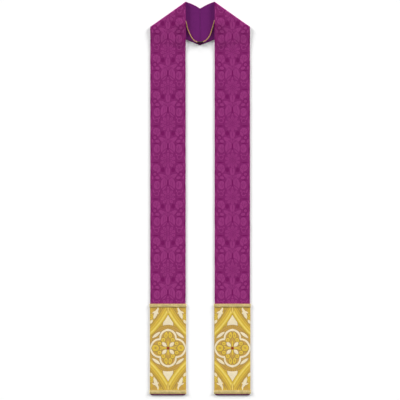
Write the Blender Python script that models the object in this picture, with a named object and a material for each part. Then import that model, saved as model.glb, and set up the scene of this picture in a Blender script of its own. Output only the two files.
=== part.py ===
"""Clerical stole, lined, laid flat with its front up.

Each half is one strip of damask backed with a plain lining. It lies straight from the hem to the shoulder,
folds under along a slanting line, and runs on to a seam at the centre of the back, where its lining is up.
The front stretch with the fold and the back stretch are separate solids, so that each has a simple shape.
A brocade panel edged with two braids closes each end, and a thin cord hangs across the back of the neck.

Metres, +Z up. X runs across the stole, +Y towards the neck, and it lies on the plane Z = 0.
The right half is worked out and the left half is its mirror image.
"""

import math

import bpy
import numpy as np
from mathutils import Vector
from mathutils.geometry import interpolate_bezier

MM = 0.001

# The outline as it lies.
LENGTH = 1400 * MM  # shoulder peaks to hem
BAND_WIDTH = 126 * MM
BAND_SPACE = 103 * MM  # clear width between the two front bands
SHOULDER_DROP = 89 * MM  # how far the fold falls across one band
NECK_SCOOP = 6 * MM  # how much deeper the neck edge is cut at the centre back
BACK_SCOOP = 3 * MM  # the same, on the back's lower edge
HEM_CORNER = 5 * MM  # radius of the corners of the hem

# The layers.
SEAM_GAP = 0.3 * MM  # between any two pieces
LINING_THICK = 1.0 * MM
FACE_THICK = 1.2 * MM
BROCADE_THICK = 1.2 * MM
BRAID_THICK = 1.0 * MM
TURN_RADIUS = 0.4 * MM  # inside the bend where a panel turns down over an edge

# The trim at the ends, measured along the band.
HEM_REVEAL = 4.5 * MM  # damask left showing below the lower braid
PANEL_LENGTH = 320 * MM  # brocade and both braids
UPPER_BRAID = 12.5 * MM
LOWER_BRAID = 13.5 * MM

# The cord.
CORD_DIAMETER = 3.4 * MM
CORD_STEP = 2.0  # spacing of the cord's points, in diameters
BINDING_HOLE = 2.1 * MM  # radius inside the thread binding
BINDING_RADIUS = 2.6 * MM
BINDING_REACH = 11 * MM  # to either side of the middle
BINDING_SIDES = 12

# How the front band settles on the layers below it.
STEP_START = 8 * MM  # past the back's lower edge, where the band starts down
STEP_END = 54 * MM
LOFT_REACH = 34 * MM  # from the fold, where it has flattened
TENT_FLAT = 15 * MM  # around the cord's end, where it stays level
TENT_REACH = 36 * MM

# The cord's route: across from the centre, down from the shoulder peaks, and up from where it would rest.
CORD_ROUTE = (
    (-0.0606, 0.0590, 0.0),
    (-0.0552, 0.0640, 0.0),
    (-0.0515, 0.0700, 0.0),
    (-0.0484, 0.0805, 0.0),
    (-0.0460, 0.0925, 0.0),
    (-0.0418, 0.1048, 0.0),
    (-0.0362, 0.1168, 0.0),
    (-0.0297, 0.1286, 0.0),
    (-0.0222, 0.1380, 0.0003),
    (-0.0137, 0.1433, 0.0009),
    (-0.0042, 0.1450, 0.0009),
    (0.0052, 0.1447, 0.0009),
    (0.0140, 0.1422, 0.0009),
    (0.0245, 0.1345, 0.0003),
    (0.0350, 0.1190, 0.0),
    (0.0428, 0.0965, 0.0),
    (0.0478, 0.0792, 0.0),
    (0.0512, 0.0693, 0.0),
    (0.0550, 0.0630, 0.0),
    (0.0602, 0.0585, 0.0),
)

# Shares of the band's width and of each stretch's length where the cloth's points lie.
COLUMNS = (0.0, 0.06, 0.14, 0.26, 0.42, 0.60, 0.80, 1.0)  # from the neck edge outwards
SHOULDER_ROWS = 16
FOLD_ROWS = 8
BACK_ROWS = 8
CORNER_ROWS = 3

INNER_X = BAND_SPACE / 2
CENTRE_X = INNER_X + BAND_WIDTH / 2
HEM_Y = -LENGTH / 2
PEAK_Y = LENGTH / 2
RAMP_Y = HEM_Y + LENGTH * 0.85  # below this the band is level and its rows are straight

# Depth of each layer through the cloth, from the bare side of the lining.
LINING_DEPTHS = (0.0, LINING_THICK)
FACE_DEPTHS = (LINING_THICK + SEAM_GAP, LINING_THICK + SEAM_GAP + FACE_THICK)
CLOTH_THICK = FACE_DEPTHS[1]

# The fold: a half turn of the cloth round an axis just inside its outer edge.
FOLD_INSIDE = CORD_DIAMETER / 2 + SEAM_GAP
FOLD_OUTSIDE = FOLD_INSIDE + CLOTH_THICK
FOLD_MIDDLE = (FOLD_INSIDE + FOLD_OUTSIDE) / 2
FOLD_ANGLE = math.atan2(SHOULDER_DROP, BAND_WIDTH)
BACK_ANGLE = math.pi / 2 - 2 * FOLD_ANGLE  # the back's slope, which the fold's slope decides
ALONG_FOLD = Vector((math.cos(FOLD_ANGLE), -math.sin(FOLD_ANGLE)))
OUT_OF_FOLD = Vector((math.sin(FOLD_ANGLE), math.cos(FOLD_ANGLE)))
# A strip that meets a fold at a slant shifts along it as it turns, by this much for each radian.
SHIFT_PER_RADIAN = FOLD_MIDDLE * math.tan(FOLD_ANGLE)
# The back stretch starts this far past the fold's end, along its own edges.
OUT_OF_BACK = Vector((math.cos(BACK_ANGLE), math.sin(BACK_ANGLE)))
BACK_GAP = 1.5 * SEAM_GAP
# Because of that shift, the neck edge reaches furthest up a little after a quarter turn.
PEAK_TURN = math.pi / 2 + math.asin(math.tan(FOLD_ANGLE) * SHIFT_PER_RADIAN / FOLD_OUTSIDE)

# The end trim, from the hem up.
PANEL_BOTTOM = HEM_Y + HEM_REVEAL
PANEL_TOP = PANEL_BOTTOM + PANEL_LENGTH
PANEL_HALF = BAND_WIDTH / 2 + SEAM_GAP
PANEL_UNDER = CLOTH_THICK + SEAM_GAP
BRAID_HALF = PANEL_HALF + BROCADE_THICK + SEAM_GAP
BRAID_UNDER = PANEL_UNDER + BROCADE_THICK + SEAM_GAP

# Base colour and roughness of each material.
MATERIALS = {
    "purple_damask": ((0.256, 0.030, 0.156, 1.0), 0.60),
    "violet_lining": ((0.144, 0.017, 0.141, 1.0), 0.70),
    "gold_brocade": ((0.640, 0.423, 0.060, 1.0), 0.45),
    "gold_braid": ((0.610, 0.460, 0.160, 1.0), 0.50),
    "gold_cord": ((0.584, 0.371, 0.107, 1.0), 0.50),
    "olive_thread": ((0.060, 0.050, 0.020, 1.0), 0.80),
}


def clear_scene():
    for obj in list(bpy.data.objects):
        bpy.data.objects.remove(obj)


def cloth_material(name):
    """The material of this name, made the first time it is asked for."""
    material = bpy.data.materials.get(name)
    if material:
        return material
    colour, roughness = MATERIALS[name]
    material = bpy.data.materials.new(name)
    material.use_nodes = True
    material.diffuse_color = colour
    shader = material.node_tree.nodes["Principled BSDF"]
    shader.inputs["Base Color"].default_value = colour
    shader.inputs["Roughness"].default_value = roughness
    shader.inputs["Metallic"].default_value = 0.0
    return material


def add_object(name, data, material):
    obj = bpy.data.objects.new(name, data)
    data.materials.append(cloth_material(material))
    bpy.context.scene.collection.objects.link(obj)
    return obj


def ease(value, start, end):
    """0 up to start, 1 from end on, and a smooth S between them."""
    share = min(max((value - start) / (end - start), 0.0), 1.0)
    return share * share * (3.0 - 2.0 * share)


def flipped(face):
    """The face seen from behind, from the same first corner, so that layers share bent squares' diagonals."""
    return [face[0], *face[:0:-1]]


def wall(name, under, over, side, material):
    """A closed wall between two grids of points. side is 1 on the right half and -1 on its mirror image."""
    rows, columns = len(under), len(under[0])
    points = [Vector((side * p.x, p.y, p.z)) for grid in (under, over) for row in grid for p in row]

    def number(layer, row, column):
        return (layer * rows + row) * columns + column

    faces = []
    for row in range(rows - 1):
        for column in range(columns - 1):
            for layer in (0, 1):
                square = [
                    number(layer, row, column),
                    number(layer, row, column + 1),
                    number(layer, row + 1, column + 1),
                    number(layer, row + 1, column),
                ]
                faces.append(flipped(square) if layer == 0 else square)
    rim = [(0, column) for column in range(columns - 1)]
    rim += [(row, columns - 1) for row in range(rows - 1)]
    rim += [(rows - 1, column) for column in range(columns - 1, 0, -1)]
    rim += [(row, 0) for row in range(rows - 1, 0, -1)]
    for here, there in zip(rim, rim[1:] + rim[:1]):
        faces.append([number(0, *here), number(0, *there), number(1, *there), number(1, *here)])
    if side < 0:
        faces = [flipped(face) for face in faces]

    mesh = bpy.data.meshes.new(name)
    mesh.from_pydata(points, [], faces)
    mesh.shade_smooth()
    mesh.set_sharp_from_angle(angle=math.radians(40))
    return add_object(name, mesh, material)


# The cloth of one half. A place on it is (x, y, turn): where it lies, and how far round the fold it has gone.


def fold_start(share):
    """Where the band meets the fold's axis, at this share of its width."""
    above = math.cos(FOLD_ANGLE) * FOLD_OUTSIDE * math.sin(PEAK_TURN)
    above += math.sin(FOLD_ANGLE) * SHIFT_PER_RADIAN * PEAK_TURN
    return Vector((INNER_X + share * BAND_WIDTH, PEAK_Y - above - share * SHOULDER_DROP))


def fold_place(share, turn):
    return fold_start(share) - ALONG_FOLD * (SHIFT_PER_RADIAN * turn)


def back_place(share, part):
    """A place on the back: part is 0 just past the fold and 1 at the centre seam."""
    start = fold_place(share, math.pi) - OUT_OF_BACK * BACK_GAP
    x = start.x + (SEAM_GAP / 2 - start.x) * part
    scoop = NECK_SCOOP + (BACK_SCOOP - NECK_SCOOP) * share
    return Vector((x, start.y - (start.x - x) * math.tan(BACK_ANGLE) - scoop * part**2))


def hem_rows():
    """Rows up the rounded corners of the hem."""
    for step in range(CORNER_ROWS):
        angle = math.pi / 2 * step / (CORNER_ROWS - 1)
        half = BAND_WIDTH / 2 - HEM_CORNER * (1 - math.sin(angle))
        y = HEM_Y + HEM_CORNER * (1 - math.cos(angle))
        yield [(CENTRE_X + (2 * share - 1) * half, y, 0.0) for share in COLUMNS]


def shoulder_rows():
    """Rows from the level band to the fold, which turn by degrees until they run along it."""
    for step in range(SHOULDER_ROWS + 1):
        part = step / SHOULDER_ROWS
        starts = [fold_start(share) for share in COLUMNS]
        yield [(start.x, RAMP_Y + (start.y - RAMP_Y) * part, 0.0) for start in starts]


def fold_rows():
    for step in range(1, FOLD_ROWS + 1):
        turn = math.pi * step / FOLD_ROWS
        yield [(*fold_place(share, turn), turn) for share in COLUMNS]


def back_rows():
    for step in range(BACK_ROWS + 1):
        yield [(*back_place(share, step / BACK_ROWS), math.pi) for share in COLUMNS]


def front_height(x, y):
    """How high the band's underside lies: on the back if there is one, lifted by the fold and the cord."""
    here = Vector((x, y))
    from_fold = (fold_start(0.0) - here).dot(OUT_OF_FOLD)
    corner = back_place(1.0, 0.0)
    past_back = (corner - here).dot(Vector((-math.sin(BACK_ANGLE), math.cos(BACK_ANGLE))))
    across, down, _ = CORD_ROUTE[-2]
    from_cord = (Vector((across, PEAK_Y - down)) - here).length
    on_back = CLOTH_THICK + SEAM_GAP
    lift = FOLD_OUTSIDE + FOLD_INSIDE - on_back
    by_fold = 1 - ease(from_fold, 0.0, LOFT_REACH)
    by_cord = 1 - ease(from_cord, TENT_FLAT, TENT_REACH)
    return on_back * (1 - ease(past_back, STEP_START, STEP_END)) + lift * (1 - (1 - by_fold) * (1 - by_cord))


def cloth_point(place, depth):
    """The point of the cloth at this depth below a place, counted from the bare side of the lining."""
    x, y, turn = place
    if turn == 0.0:
        return Vector((x, y, front_height(x, y) + depth))
    radius = FOLD_INSIDE + depth
    out = OUT_OF_FOLD * (radius * math.sin(turn))
    return Vector((x + out.x, y + out.y, FOLD_OUTSIDE + radius * math.cos(turn)))


def build_layer(layer, side, hand, depths, material):
    """Both stretches of one layer. Along the front the lining's bare side is below, and the damask on top."""
    front = [*hem_rows(), *shoulder_rows(), *fold_rows()]
    for name, rows in ((f"{layer}_{hand}", front), (f"{layer}_back_{hand}", list(back_rows()))):
        under, over = ([[cloth_point(place, depth) for place in row] for row in rows] for depth in depths)
        wall(name, under, over, side, material)


# The end trim: a flat strip across the band, turned down over its edges to the surface it lies on.


def turned_row(half, height, radius, y):
    """Points across one end, up over one edge of the band and down the other."""
    bend = [math.pi / 2 * step / 2 for step in range(3)]
    left = [(-half + radius * (1 - math.sin(a)), height - radius * (1 - math.cos(a))) for a in reversed(bend)]
    left = [(-half, 0.0)] + [(x, z) for x, z in sorted(left)]
    return [Vector((CENTRE_X + x, y, z)) for x, z in left + [(-x, z) for x, z in reversed(left)]]


def build_strip(name, side, half, under, thick, ends, material):
    """A strip of this thickness between two places along the band, half as wide inside as half says."""
    surfaces = []
    for out in (0.0, thick):
        surfaces.append([turned_row(half + out, under + out, TURN_RADIUS + out, y) for y in ends])
    return wall(name, *surfaces, side, material)


def build_end(side, hand):
    panel = (PANEL_BOTTOM, PANEL_TOP)
    upper = (PANEL_TOP - UPPER_BRAID, PANEL_TOP)
    lower = (PANEL_BOTTOM, PANEL_BOTTOM + LOWER_BRAID)
    build_strip(f"end_panel_{hand}", side, PANEL_HALF, PANEL_UNDER, BROCADE_THICK, panel, "gold_brocade")
    build_strip(f"braid_upper_{hand}", side, BRAID_HALF, BRAID_UNDER, BRAID_THICK, upper, "gold_braid")
    build_strip(f"braid_lower_{hand}", side, BRAID_HALF, BRAID_UNDER, BRAID_THICK, lower, "gold_braid")


# The cord.


def cord_curve():
    """Points along a smooth curve through the cord's route, an even step apart."""
    rest = CLOTH_THICK + SEAM_GAP + CORD_DIAMETER / 2
    route = [Vector((x, PEAK_Y - down, rest + lift)) for x, down, lift in CORD_ROUTE]
    padded = [route[0], *route, route[-1]]
    dense = []
    for before, start, end, after in zip(padded, padded[1:], padded[2:], padded[3:]):
        dense += interpolate_bezier(start, start + (end - before) / 6, end - (after - start) / 6, end, 16)
    steps = np.linalg.norm(np.diff(dense, axis=0), axis=1)
    lengths = np.concatenate(([0.0], np.cumsum(steps)))
    count = round(lengths[-1] / (CORD_STEP * CORD_DIAMETER))
    wanted = np.linspace(0.0, lengths[-1], count + 1)
    evened = [np.interp(wanted, lengths, axis) for axis in np.transpose(dense)]
    return [Vector(point) for point in np.transpose(evened)]


def build_cord(points):
    curve = bpy.data.curves.new("neck_cord", "CURVE")
    curve.dimensions = "3D"
    curve.bevel_depth = CORD_DIAMETER / 2
    curve.bevel_resolution = 2
    curve.use_fill_caps = True
    spline = curve.splines.new("POLY")
    spline.points.add(len(points) - 1)
    for target, point in zip(spline.points, points):
        target.co = (*point, 1.0)
    return add_object("neck_cord", curve, "gold_cord")


def build_binding(points):
    """A sleeve round the middle of the cord, with rings at the cord's own points."""
    middle = [i for i, point in enumerate(points) if abs(point.x) < BINDING_REACH]
    rings = {BINDING_HOLE: [], BINDING_RADIUS: []}
    for i in middle:
        ahead = (points[i + 1] - points[i - 1]).normalized()
        across = ahead.cross(Vector((0, 0, 1))).normalized()
        up = across.cross(ahead)
        for radius, ring in rings.items():
            turns = [2 * math.pi * step / BINDING_SIDES for step in range(BINDING_SIDES)]
            ring.append([points[i] + (across * math.cos(a) + up * math.sin(a)) * radius for a in turns])
    hole, skin = rings.values()
    verts = [point for grid in (hole, skin) for ring in grid for point in ring]
    count = len(middle)

    def number(layer, ring, side):
        return (layer * count + ring) * BINDING_SIDES + side % BINDING_SIDES

    faces = []
    for side in range(BINDING_SIDES):
        for ring in range(count - 1):
            for layer in (0, 1):
                corners = ((ring, side), (ring, side + 1), (ring + 1, side + 1), (ring + 1, side))
                square = [number(layer, *corner) for corner in corners]
                faces.append(square if layer == 0 else square[::-1])
        for ring, order in ((0, 1), (count - 1, -1)):
            corners = ((0, ring, side), (1, ring, side), (1, ring, side + 1), (0, ring, side + 1))
            faces.append([number(*corner) for corner in corners][::order])
    mesh = bpy.data.meshes.new("cord_binding")
    mesh.from_pydata(verts, [], faces)
    mesh.shade_smooth()
    mesh.set_sharp_from_angle(angle=math.radians(40))
    return add_object("cord_binding", mesh, "olive_thread")


def main():
    clear_scene()
    for side, hand in ((1, "right"), (-1, "left")):
        build_layer("face", side, hand, FACE_DEPTHS, "purple_damask")
        build_layer("lining", side, hand, LINING_DEPTHS, "violet_lining")
        build_end(side, hand)
    points = cord_curve()
    build_cord(points)
    build_binding(points)


main()
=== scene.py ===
"""A clerical stole laid flat with its front up: the looks of its cloth, brocade, braid and cord.

Metres, +Z up. X runs across the stole and +Y towards the neck, and it lies on the plane Z = 0. Every piece is
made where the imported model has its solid. Run as a script, it makes everything and finishes the frame. Its
operators and sizes are also listed in the 3D view's sidebar, under Stole.
"""

import math

import bpy
import numpy as np
from bpy.props import FloatProperty, FloatVectorProperty, IntProperty, PointerProperty
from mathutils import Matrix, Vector
from mathutils.geometry import interpolate_bezier


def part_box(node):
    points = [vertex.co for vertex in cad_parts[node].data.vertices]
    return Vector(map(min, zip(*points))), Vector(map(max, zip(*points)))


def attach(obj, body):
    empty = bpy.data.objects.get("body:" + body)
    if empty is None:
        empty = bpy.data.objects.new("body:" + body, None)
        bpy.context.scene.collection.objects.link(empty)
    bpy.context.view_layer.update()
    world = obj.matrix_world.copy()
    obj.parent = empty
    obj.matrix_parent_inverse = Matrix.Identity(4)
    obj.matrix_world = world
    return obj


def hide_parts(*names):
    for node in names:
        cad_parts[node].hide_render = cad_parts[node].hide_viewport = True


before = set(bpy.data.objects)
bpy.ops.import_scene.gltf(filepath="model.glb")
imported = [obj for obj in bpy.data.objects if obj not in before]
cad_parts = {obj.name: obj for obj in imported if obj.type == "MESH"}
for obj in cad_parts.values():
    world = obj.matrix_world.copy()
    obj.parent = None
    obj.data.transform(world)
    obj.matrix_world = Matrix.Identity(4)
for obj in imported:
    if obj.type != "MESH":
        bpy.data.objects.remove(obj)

bl_info = {
    "name": "Clerical Stole",
    "version": (1, 0, 0),
    "blender": (4, 5, 0),
    "location": "View3D > Sidebar > Stole",
    "description": "Makes a lined damask stole with brocade ends, braid and a neck cord, laid flat",
    "category": "Add Mesh",
}

MM = 0.001
TURN = 2 * math.pi
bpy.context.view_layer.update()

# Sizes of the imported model.
FACE_LOW, FACE_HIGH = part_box("face_right")
PANEL_LOW, PANEL_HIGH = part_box("end_panel_right")
CLOTH_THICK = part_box("lining_back_right")[1].z
HEM_Y = FACE_LOW.y
PEAK_Y = FACE_HIGH.y
LENGTH = PEAK_Y - HEM_Y
CENTRE_X = (PANEL_LOW.x + PANEL_HIGH.x) / 2
BAND_WIDTH = PANEL_HIGH.x - PANEL_LOW.x - 2 * (PANEL_HIGH.z - CLOTH_THICK)
INNER_X = CENTRE_X - BAND_WIDTH / 2
PANEL_MIDDLE = (PANEL_LOW.y + PANEL_HIGH.y) / 2

# Sizes that the solids were drawn with and their boxes don't give.
SEAM_GAP = 0.3 * MM
SHOULDER_DROP = 89 * MM  # how far the fold falls across one band
NECK_SCOOP = 6 * MM  # how much deeper the neck edge is cut at the centre back
BACK_SCOOP = 3 * MM  # the same, on the back's lower edge
HEM_CORNER = 5 * MM
STEP_START = 5 * MM  # past the back's lower edge, where the front band starts down to the table
STEP_END = 46 * MM
LOFT_REACH = 70 * MM  # from the fold, where the front band has flattened
TENT_FLAT = 15 * MM  # around the cord's end, where the band stays lifted
TENT_REACH = 72 * MM
SETTLED = 0.6 * MM  # how much lower the brocade and the braid lie than the solids they stand for
PRESSED = 0.35  # share of the fold's height left at the shoulder's outer corner, where it is pressed flatter
PRESSED_FROM = 14 * MM  # from the inner edge, where the pressing starts
PRESSED_TO = 70 * MM
RAMP_Y = HEM_Y + LENGTH * 0.85  # below this the band's rows are straight
RIDGES_FROM = 60 * MM  # from the fold, and from the brocade, where the soft ridges start
RIDGES_FULL = 160 * MM  # from the fold, where they have their full height
WANDER_REACH = 5 * MM  # how far in from an edge the cloth strays with it
WANDER_RUN = 0.15  # how much edge one share of the shoulder, the fold or the back counts for in its wander

# The fold at the shoulder: a half turn of the cloth round an axis just inside its outer edge.
FOLD_OUTSIDE = FACE_HIGH.z / 2
FOLD_INSIDE = FOLD_OUTSIDE - CLOTH_THICK
FOLD_MIDDLE = (FOLD_INSIDE + FOLD_OUTSIDE) / 2
FOLD_ANGLE = math.atan2(SHOULDER_DROP, BAND_WIDTH)
BACK_ANGLE = math.pi / 2 - 2 * FOLD_ANGLE
ALONG_FOLD = Vector((math.cos(FOLD_ANGLE), -math.sin(FOLD_ANGLE)))
OUT_OF_FOLD = Vector((math.sin(FOLD_ANGLE), math.cos(FOLD_ANGLE)))
SHIFT_PER_RADIAN = FOLD_MIDDLE * math.tan(FOLD_ANGLE)
PEAK_TURN = math.pi / 2 + math.asin(math.tan(FOLD_ANGLE) * SHIFT_PER_RADIAN / FOLD_OUTSIDE)

# The cord's route: across from the centre, down from the shoulder peaks, and up from where it would rest.
CORD_ROUTE = (
    (-0.0606, 0.0590, 0.0),
    (-0.0552, 0.0640, 0.0),
    (-0.0515, 0.0700, 0.0),
    (-0.0484, 0.0805, 0.0),
    (-0.0460, 0.0925, 0.0),
    (-0.0418, 0.1048, 0.0),
    (-0.0362, 0.1168, 0.0),
    (-0.0297, 0.1286, 0.0),
    (-0.0222, 0.1380, 0.0003),
    (-0.0137, 0.1433, 0.0009),
    (-0.0042, 0.1450, 0.0009),
    (0.0052, 0.1447, 0.0009),
    (0.0140, 0.1422, 0.0009),
    (0.0245, 0.1345, 0.0003),
    (0.0350, 0.1190, 0.0),
    (0.0428, 0.0965, 0.0),
    (0.0478, 0.0792, 0.0),
    (0.0512, 0.0693, 0.0),
    (0.0550, 0.0630, 0.0),
    (0.0602, 0.0585, 0.0),
)
CORD_DIAMETER = 3.4 * MM
BINDING_REACH = 11 * MM  # of the thread winding, to either side of the cord's middle

# How the end trim lies: the radius of its turned edges, the height that they stop at, and how far below the
# top of its solid it lies.
PANEL_TURN = 1.5 * MM
PANEL_FOOT = 0.15 * MM
PANEL_CLEAR = 0.1 * MM  # the least height of any of the brocade
BRAID_TURN = 2.0 * MM
BRAID_FOOT = 1.15 * MM
BRAID_SUNK = 1.2 * MM
BRAID_STEP = 3.0 * MM  # spacing of the points of its path
BRAID_STITCH_TURN = 2.4 * MM
BRAID_STITCH_FOOT = 1.2 * MM
BRAID_STITCH_SUNK = 0.65 * MM
BRAID_STITCH_INSET = 2.3 * MM  # from the braid's edge
RIB_SLANT = math.radians(52)
RIB_OVERLAP = 1.28  # length of a rib for each width of its lane
TAPE_SHARE = 0.45  # thickness of the braid's tape for each thickness of a rib
EDGE_LAY = 3.2 * MM  # length of one full turn of a braid's edge cord
EDGE_GROOVE = 0.3  # depth of the grooves between its strands, as a share of its radius
CORD_GROOVE = 0.42  # the same, on the neck cord
WINDING_PITCH = 0.96  # from one turn of the binding to the next, for each thickness of its thread
WINDING_POINTS = 14.0  # points to a turn
STITCH_STRAY = 0.16  # radians to either side, by which a stitch lies out of line
STITCH_DEPTH = 0.05 * MM  # how far the lining's stitches stand out of its bare side
STITCH_LOWEST = 0.25 * MM  # so that the thread never goes under the surface the stole lies on

FLOOR_REACH = 6.0  # from the floor's middle to its edges, in metres
SIDE_LIGHT_FROM = (0.78, 0.62)  # across the stole and along it
CAMERA_X = -0.5 * MM

SIDES = (("left", -1), ("right", 1))
CLOTH_MAP = "cloth_map"  # the UV map of a piece: where a point lies on the flat cloth, in metres
STRAND_MAP = "strand_map"  # on a cord: round it in turns, and along it in metres
RIM = "rim"  # on cloth: how far a point is from the piece's edge, in metres
UP = "up"  # on a path: the direction out of the cloth

# The damask's figure, in millimetres and degrees, mirrored across the band and repeated along it. Each row is
# kind, across, along, half length, half width, tilt, line width (0 is filled), satin share. Later rows lie
# over earlier ones. A share of 1 is full satin and 0 is bare ground.
DAMASK_REPEAT = 130.0
FIRST_ROSETTE = 45.5  # from the shoulder peak down to the first rosette
DAMASK_BASE = 0.42
OUTLINE_WIDTH = 1.0
OUTLINE_SATIN = 0.0
OUTLINED_FROM = 0.8  # figures with at least this satin share have an outline
DAMASK_FAN = (
    ("oval", 0, -62, 25, 12, 0, 0, 1.0),
    ("leaf", 18, -57, 17, 7.5, 32, 0, 1.0),
    ("oval", 41, -26, 13.5, 12.5, 0, 0, 1.0),
    ("leaf", 33, -36, 11, 5, -58, 0, 1.0),
    ("leaf", 43, -27, 10.5, 0.9, 70, 0, 0.3),
    ("leaf", 36.5, -24, 8.5, 0.8, 105, 0, 0.3),
    ("leaf", 49, -26, 7.5, 0.8, 40, 0, 0.3),
    ("oval", 39, 42, 12, 15.5, 0, 0, 1.0),
    ("leaf", 37.5, 42, 12.5, 1.0, 86, 0, 0.3),
    ("leaf", 44, 44, 8.5, 0.8, 60, 0, 0.3),
    ("leaf", 33, 41, 8.5, 0.8, 105, 0, 0.3),
)
DAMASK_SCROLLS = (
    ("oval", 40, 11.5, 7.4, 7.4, 0, 3.6, 1.0),
    ("oval", 40, 12.5, 1.9, 1.9, 0, 0, 0.1),
    ("oval", 30.5, 21, 3.4, 3.2, 0, 0, 1.0),
    ("leaf", 51, 20, 9, 2.8, 62, 0, 1.0),
    ("oval", 46.5, -49.5, 8.6, 8.2, 0, 2.0, 0.0),
    ("oval", 46.5, -49, 5.2, 4.8, 0, 0, 1.0),
    ("oval", 46.5, -49, 1.4, 1.4, 0, 0, 0.2),
    ("oval", 37.5, -62, 8.0, 5.5, 20, 0, 1.0),
    ("leaf", 55, -61, 8, 3.2, 80, 0, 1.0),
    ("leaf", 57, -17, 9, 2.6, 100, 0, 1.0),
    ("leaf", 59.5, 8, 11, 2.4, 90, 0, 1.0),
)
DAMASK_GROUND = (
    ("leaf", 61, 37, 12, 4.6, 90, 0, 0.0),
    ("leaf", 61, -42, 7, 4.0, 90, 0, 0.0),
    ("leaf", 44, -7.5, 13, 2.9, 0, 0, 0.0),
    ("leaf", 42, 60.5, 14, 2.0, -4, 0, 0.0),
    ("leaf", 27.5, 46, 17, 1.4, 92, 0, 0.0),
)
DAMASK_OGEE = (
    ("leaf", 14.5, 47, 24, 12, 101, 0, 1.0),
    ("leaf", 15.5, 50, 16, 0.9, 101, 0, 0.3),
    ("leaf", 9.5, 52, 10, 0.8, 96, 0, 0.3),
    ("leaf", 0, -1, 45, 31, 90, 2.8, 0.2),
    ("leaf", 0, 50, 14, 3.0, 90, 0, 0.0),
    ("oval", 18.5, -33.5, 6.9, 8.4, 0, 0, 0.0),
    ("oval", 0, -38, 8.8, 17, 0, 0, 1.0),
    ("leaf", 0, -37, 10, 1.1, 90, 0, 0.2),
    ("leaf", 0, -58, 8, 1.3, 90, 0, 0.3),
    ("leaf", 11, -62, 10, 1.0, 50, 0, 0.3),
    ("leaf", 0, 31.5, 6.5, 3.4, 90, 0, 1.0),
)
PETAL_TURN = 36  # degrees from one petal of the rosette to the next
PETAL_RING = 20.5
INNER_RING = 10.5
ROSETTE_EYE = (
    ("oval", 0, 0, 5.0, 5.0, 0, 0, 1.0),
    ("oval", 0, 0, 1.8, 2.6, 0, 0, 0.0),
)

# The brocade's figure, mirrored both ways from a centre a little above the middle of the panel. Each row is
# kind, across, along, half length, half width, tilt, line width, thread.
BROCADE_CENTRE = 2.0
BROCADE_CORNERS = (
    ("oval", 64, 150, 40, 34, 0, 0, "ochre"),
    ("leaf", 30, 150, 26, 7, 118, 0, "gold"),
    ("leaf", 20, 158, 18, 5, 60, 0, "gold"),
    ("leaf", 52, 92, 20, 6, 128, 0, "gold"),
    ("leaf", 60, 78, 14, 4, 128, 0, "bright"),
    ("leaf", 28, 134, 15, 1.4, 100, 0, "brown"),
    ("leaf", 58, 134, 12, 4, 75, 0, "gold"),
)
BROCADE_ARCH = (
    ("leaf", 0, 82, 39, 20, 90, 0, "brown"),
    ("leaf", 0, 82, 37.5, 18, 90, 0, "cream"),
    ("oval", 0, 0, 66, 83, 0, 0, "brown"),
    ("oval", 0, 0, 66, 81.5, 0, 0, "ochre"),
    ("oval", 0, 0, 60, 74.5, 0, 1.6, "brown"),
)
ARCH_DOTS = 4
DOT_TURN = 5.2  # degrees from one dot to the next
DOT_RING = 79
DOT_RADIUS = 1.8
BROCADE_STRAPS = (
    ("oval", 279, 279, 307, 307, 0, 30, "brown"),
    ("oval", 279, 279, 308, 308, 0, 26, "gold"),
    ("oval", 279, 279, 310, 310, 0, 17, "bright"),
    ("oval", 279, 279, 300, 300, 0, 2, "ochre"),
    ("oval", 279, 279, 307, 307, 0, 1.4, "ochre"),
    # Painted highlight: a band of shine along the crown of each strap.
    ("oval", 279, 279, 313, 313, 0, 5, "shine"),
    ("leaf", 0, 142, 19, 6, 90, 0, "ochre"),
    ("leaf", 0, 138, 14, 2.2, 90, 0, "shine"),
)
BROCADE_STARS = (
    ("leaf", 44, 122, 23, 8.0, 110, 0, "brown"),
    ("leaf", 44, 122, 21, 6.2, 110, 0, "cream"),
    ("leaf", 36, 140, 10, 2.6, 92, 0, "cream"),
    ("leaf", 38, 128, 8, 2.4, 60, 0, "cream"),
    ("leaf", 50, 128, 8, 2.4, 150, 0, "cream"),
    ("leaf", 60, 94, 9, 4.4, 125, 0, "cream"),
    ("oval", 61, 113, 8.5, 8.5, 0, 0, "bright"),
    ("oval", 61, 113, 4.2, 4.2, 0, 1.4, "brown"),
    ("oval", 60, 132, 6, 7, 0, 0, "gold"),
)
QUATREFOIL = (
    ("leaf", 42, 47, 21, 7.4, -37, 0, "brown"),
    ("leaf", 42, 47, 19, 5.2, -37, 0, "cream"),
    ("oval", 29, 0, 37.5, 37.5, 0, 0, "brown"),
    ("oval", 0, 37, 33, 33, 0, 0, "brown"),
    ("oval", 0, 0, 44.5, 44.5, 0, 0, "brown"),
    ("oval", 29, 0, 35.2, 35.2, 0, 0, "cream"),
    ("oval", 0, 37, 30.8, 30.8, 0, 0, "cream"),
    ("oval", 0, 0, 42, 42, 0, 0, "cream"),
    ("leaf", 0, 52, 17, 15, 90, 0, "cream"),
    ("oval", 29, 0, 28.5, 28.5, 0, 0, "ochre"),
    ("oval", 0, 36, 24.5, 24.5, 0, 0, "ochre"),
    ("oval", 0, 0, 35.5, 35.5, 0, 0, "ochre"),
)
QUATREFOIL_LOBES = (
    ("leaf", 7.5, 45, 14, 6.8, 98),
    ("oval", 45, 0, 12.5, 12.5, 0),
    ("oval", 17, 28.5, 7.5, 8.5, 30),
    ("oval", 30.5, 16, 7.5, 7.5, 0),
    ("leaf", 24.5, 4, 7.0, 3.4, 20),
)
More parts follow.
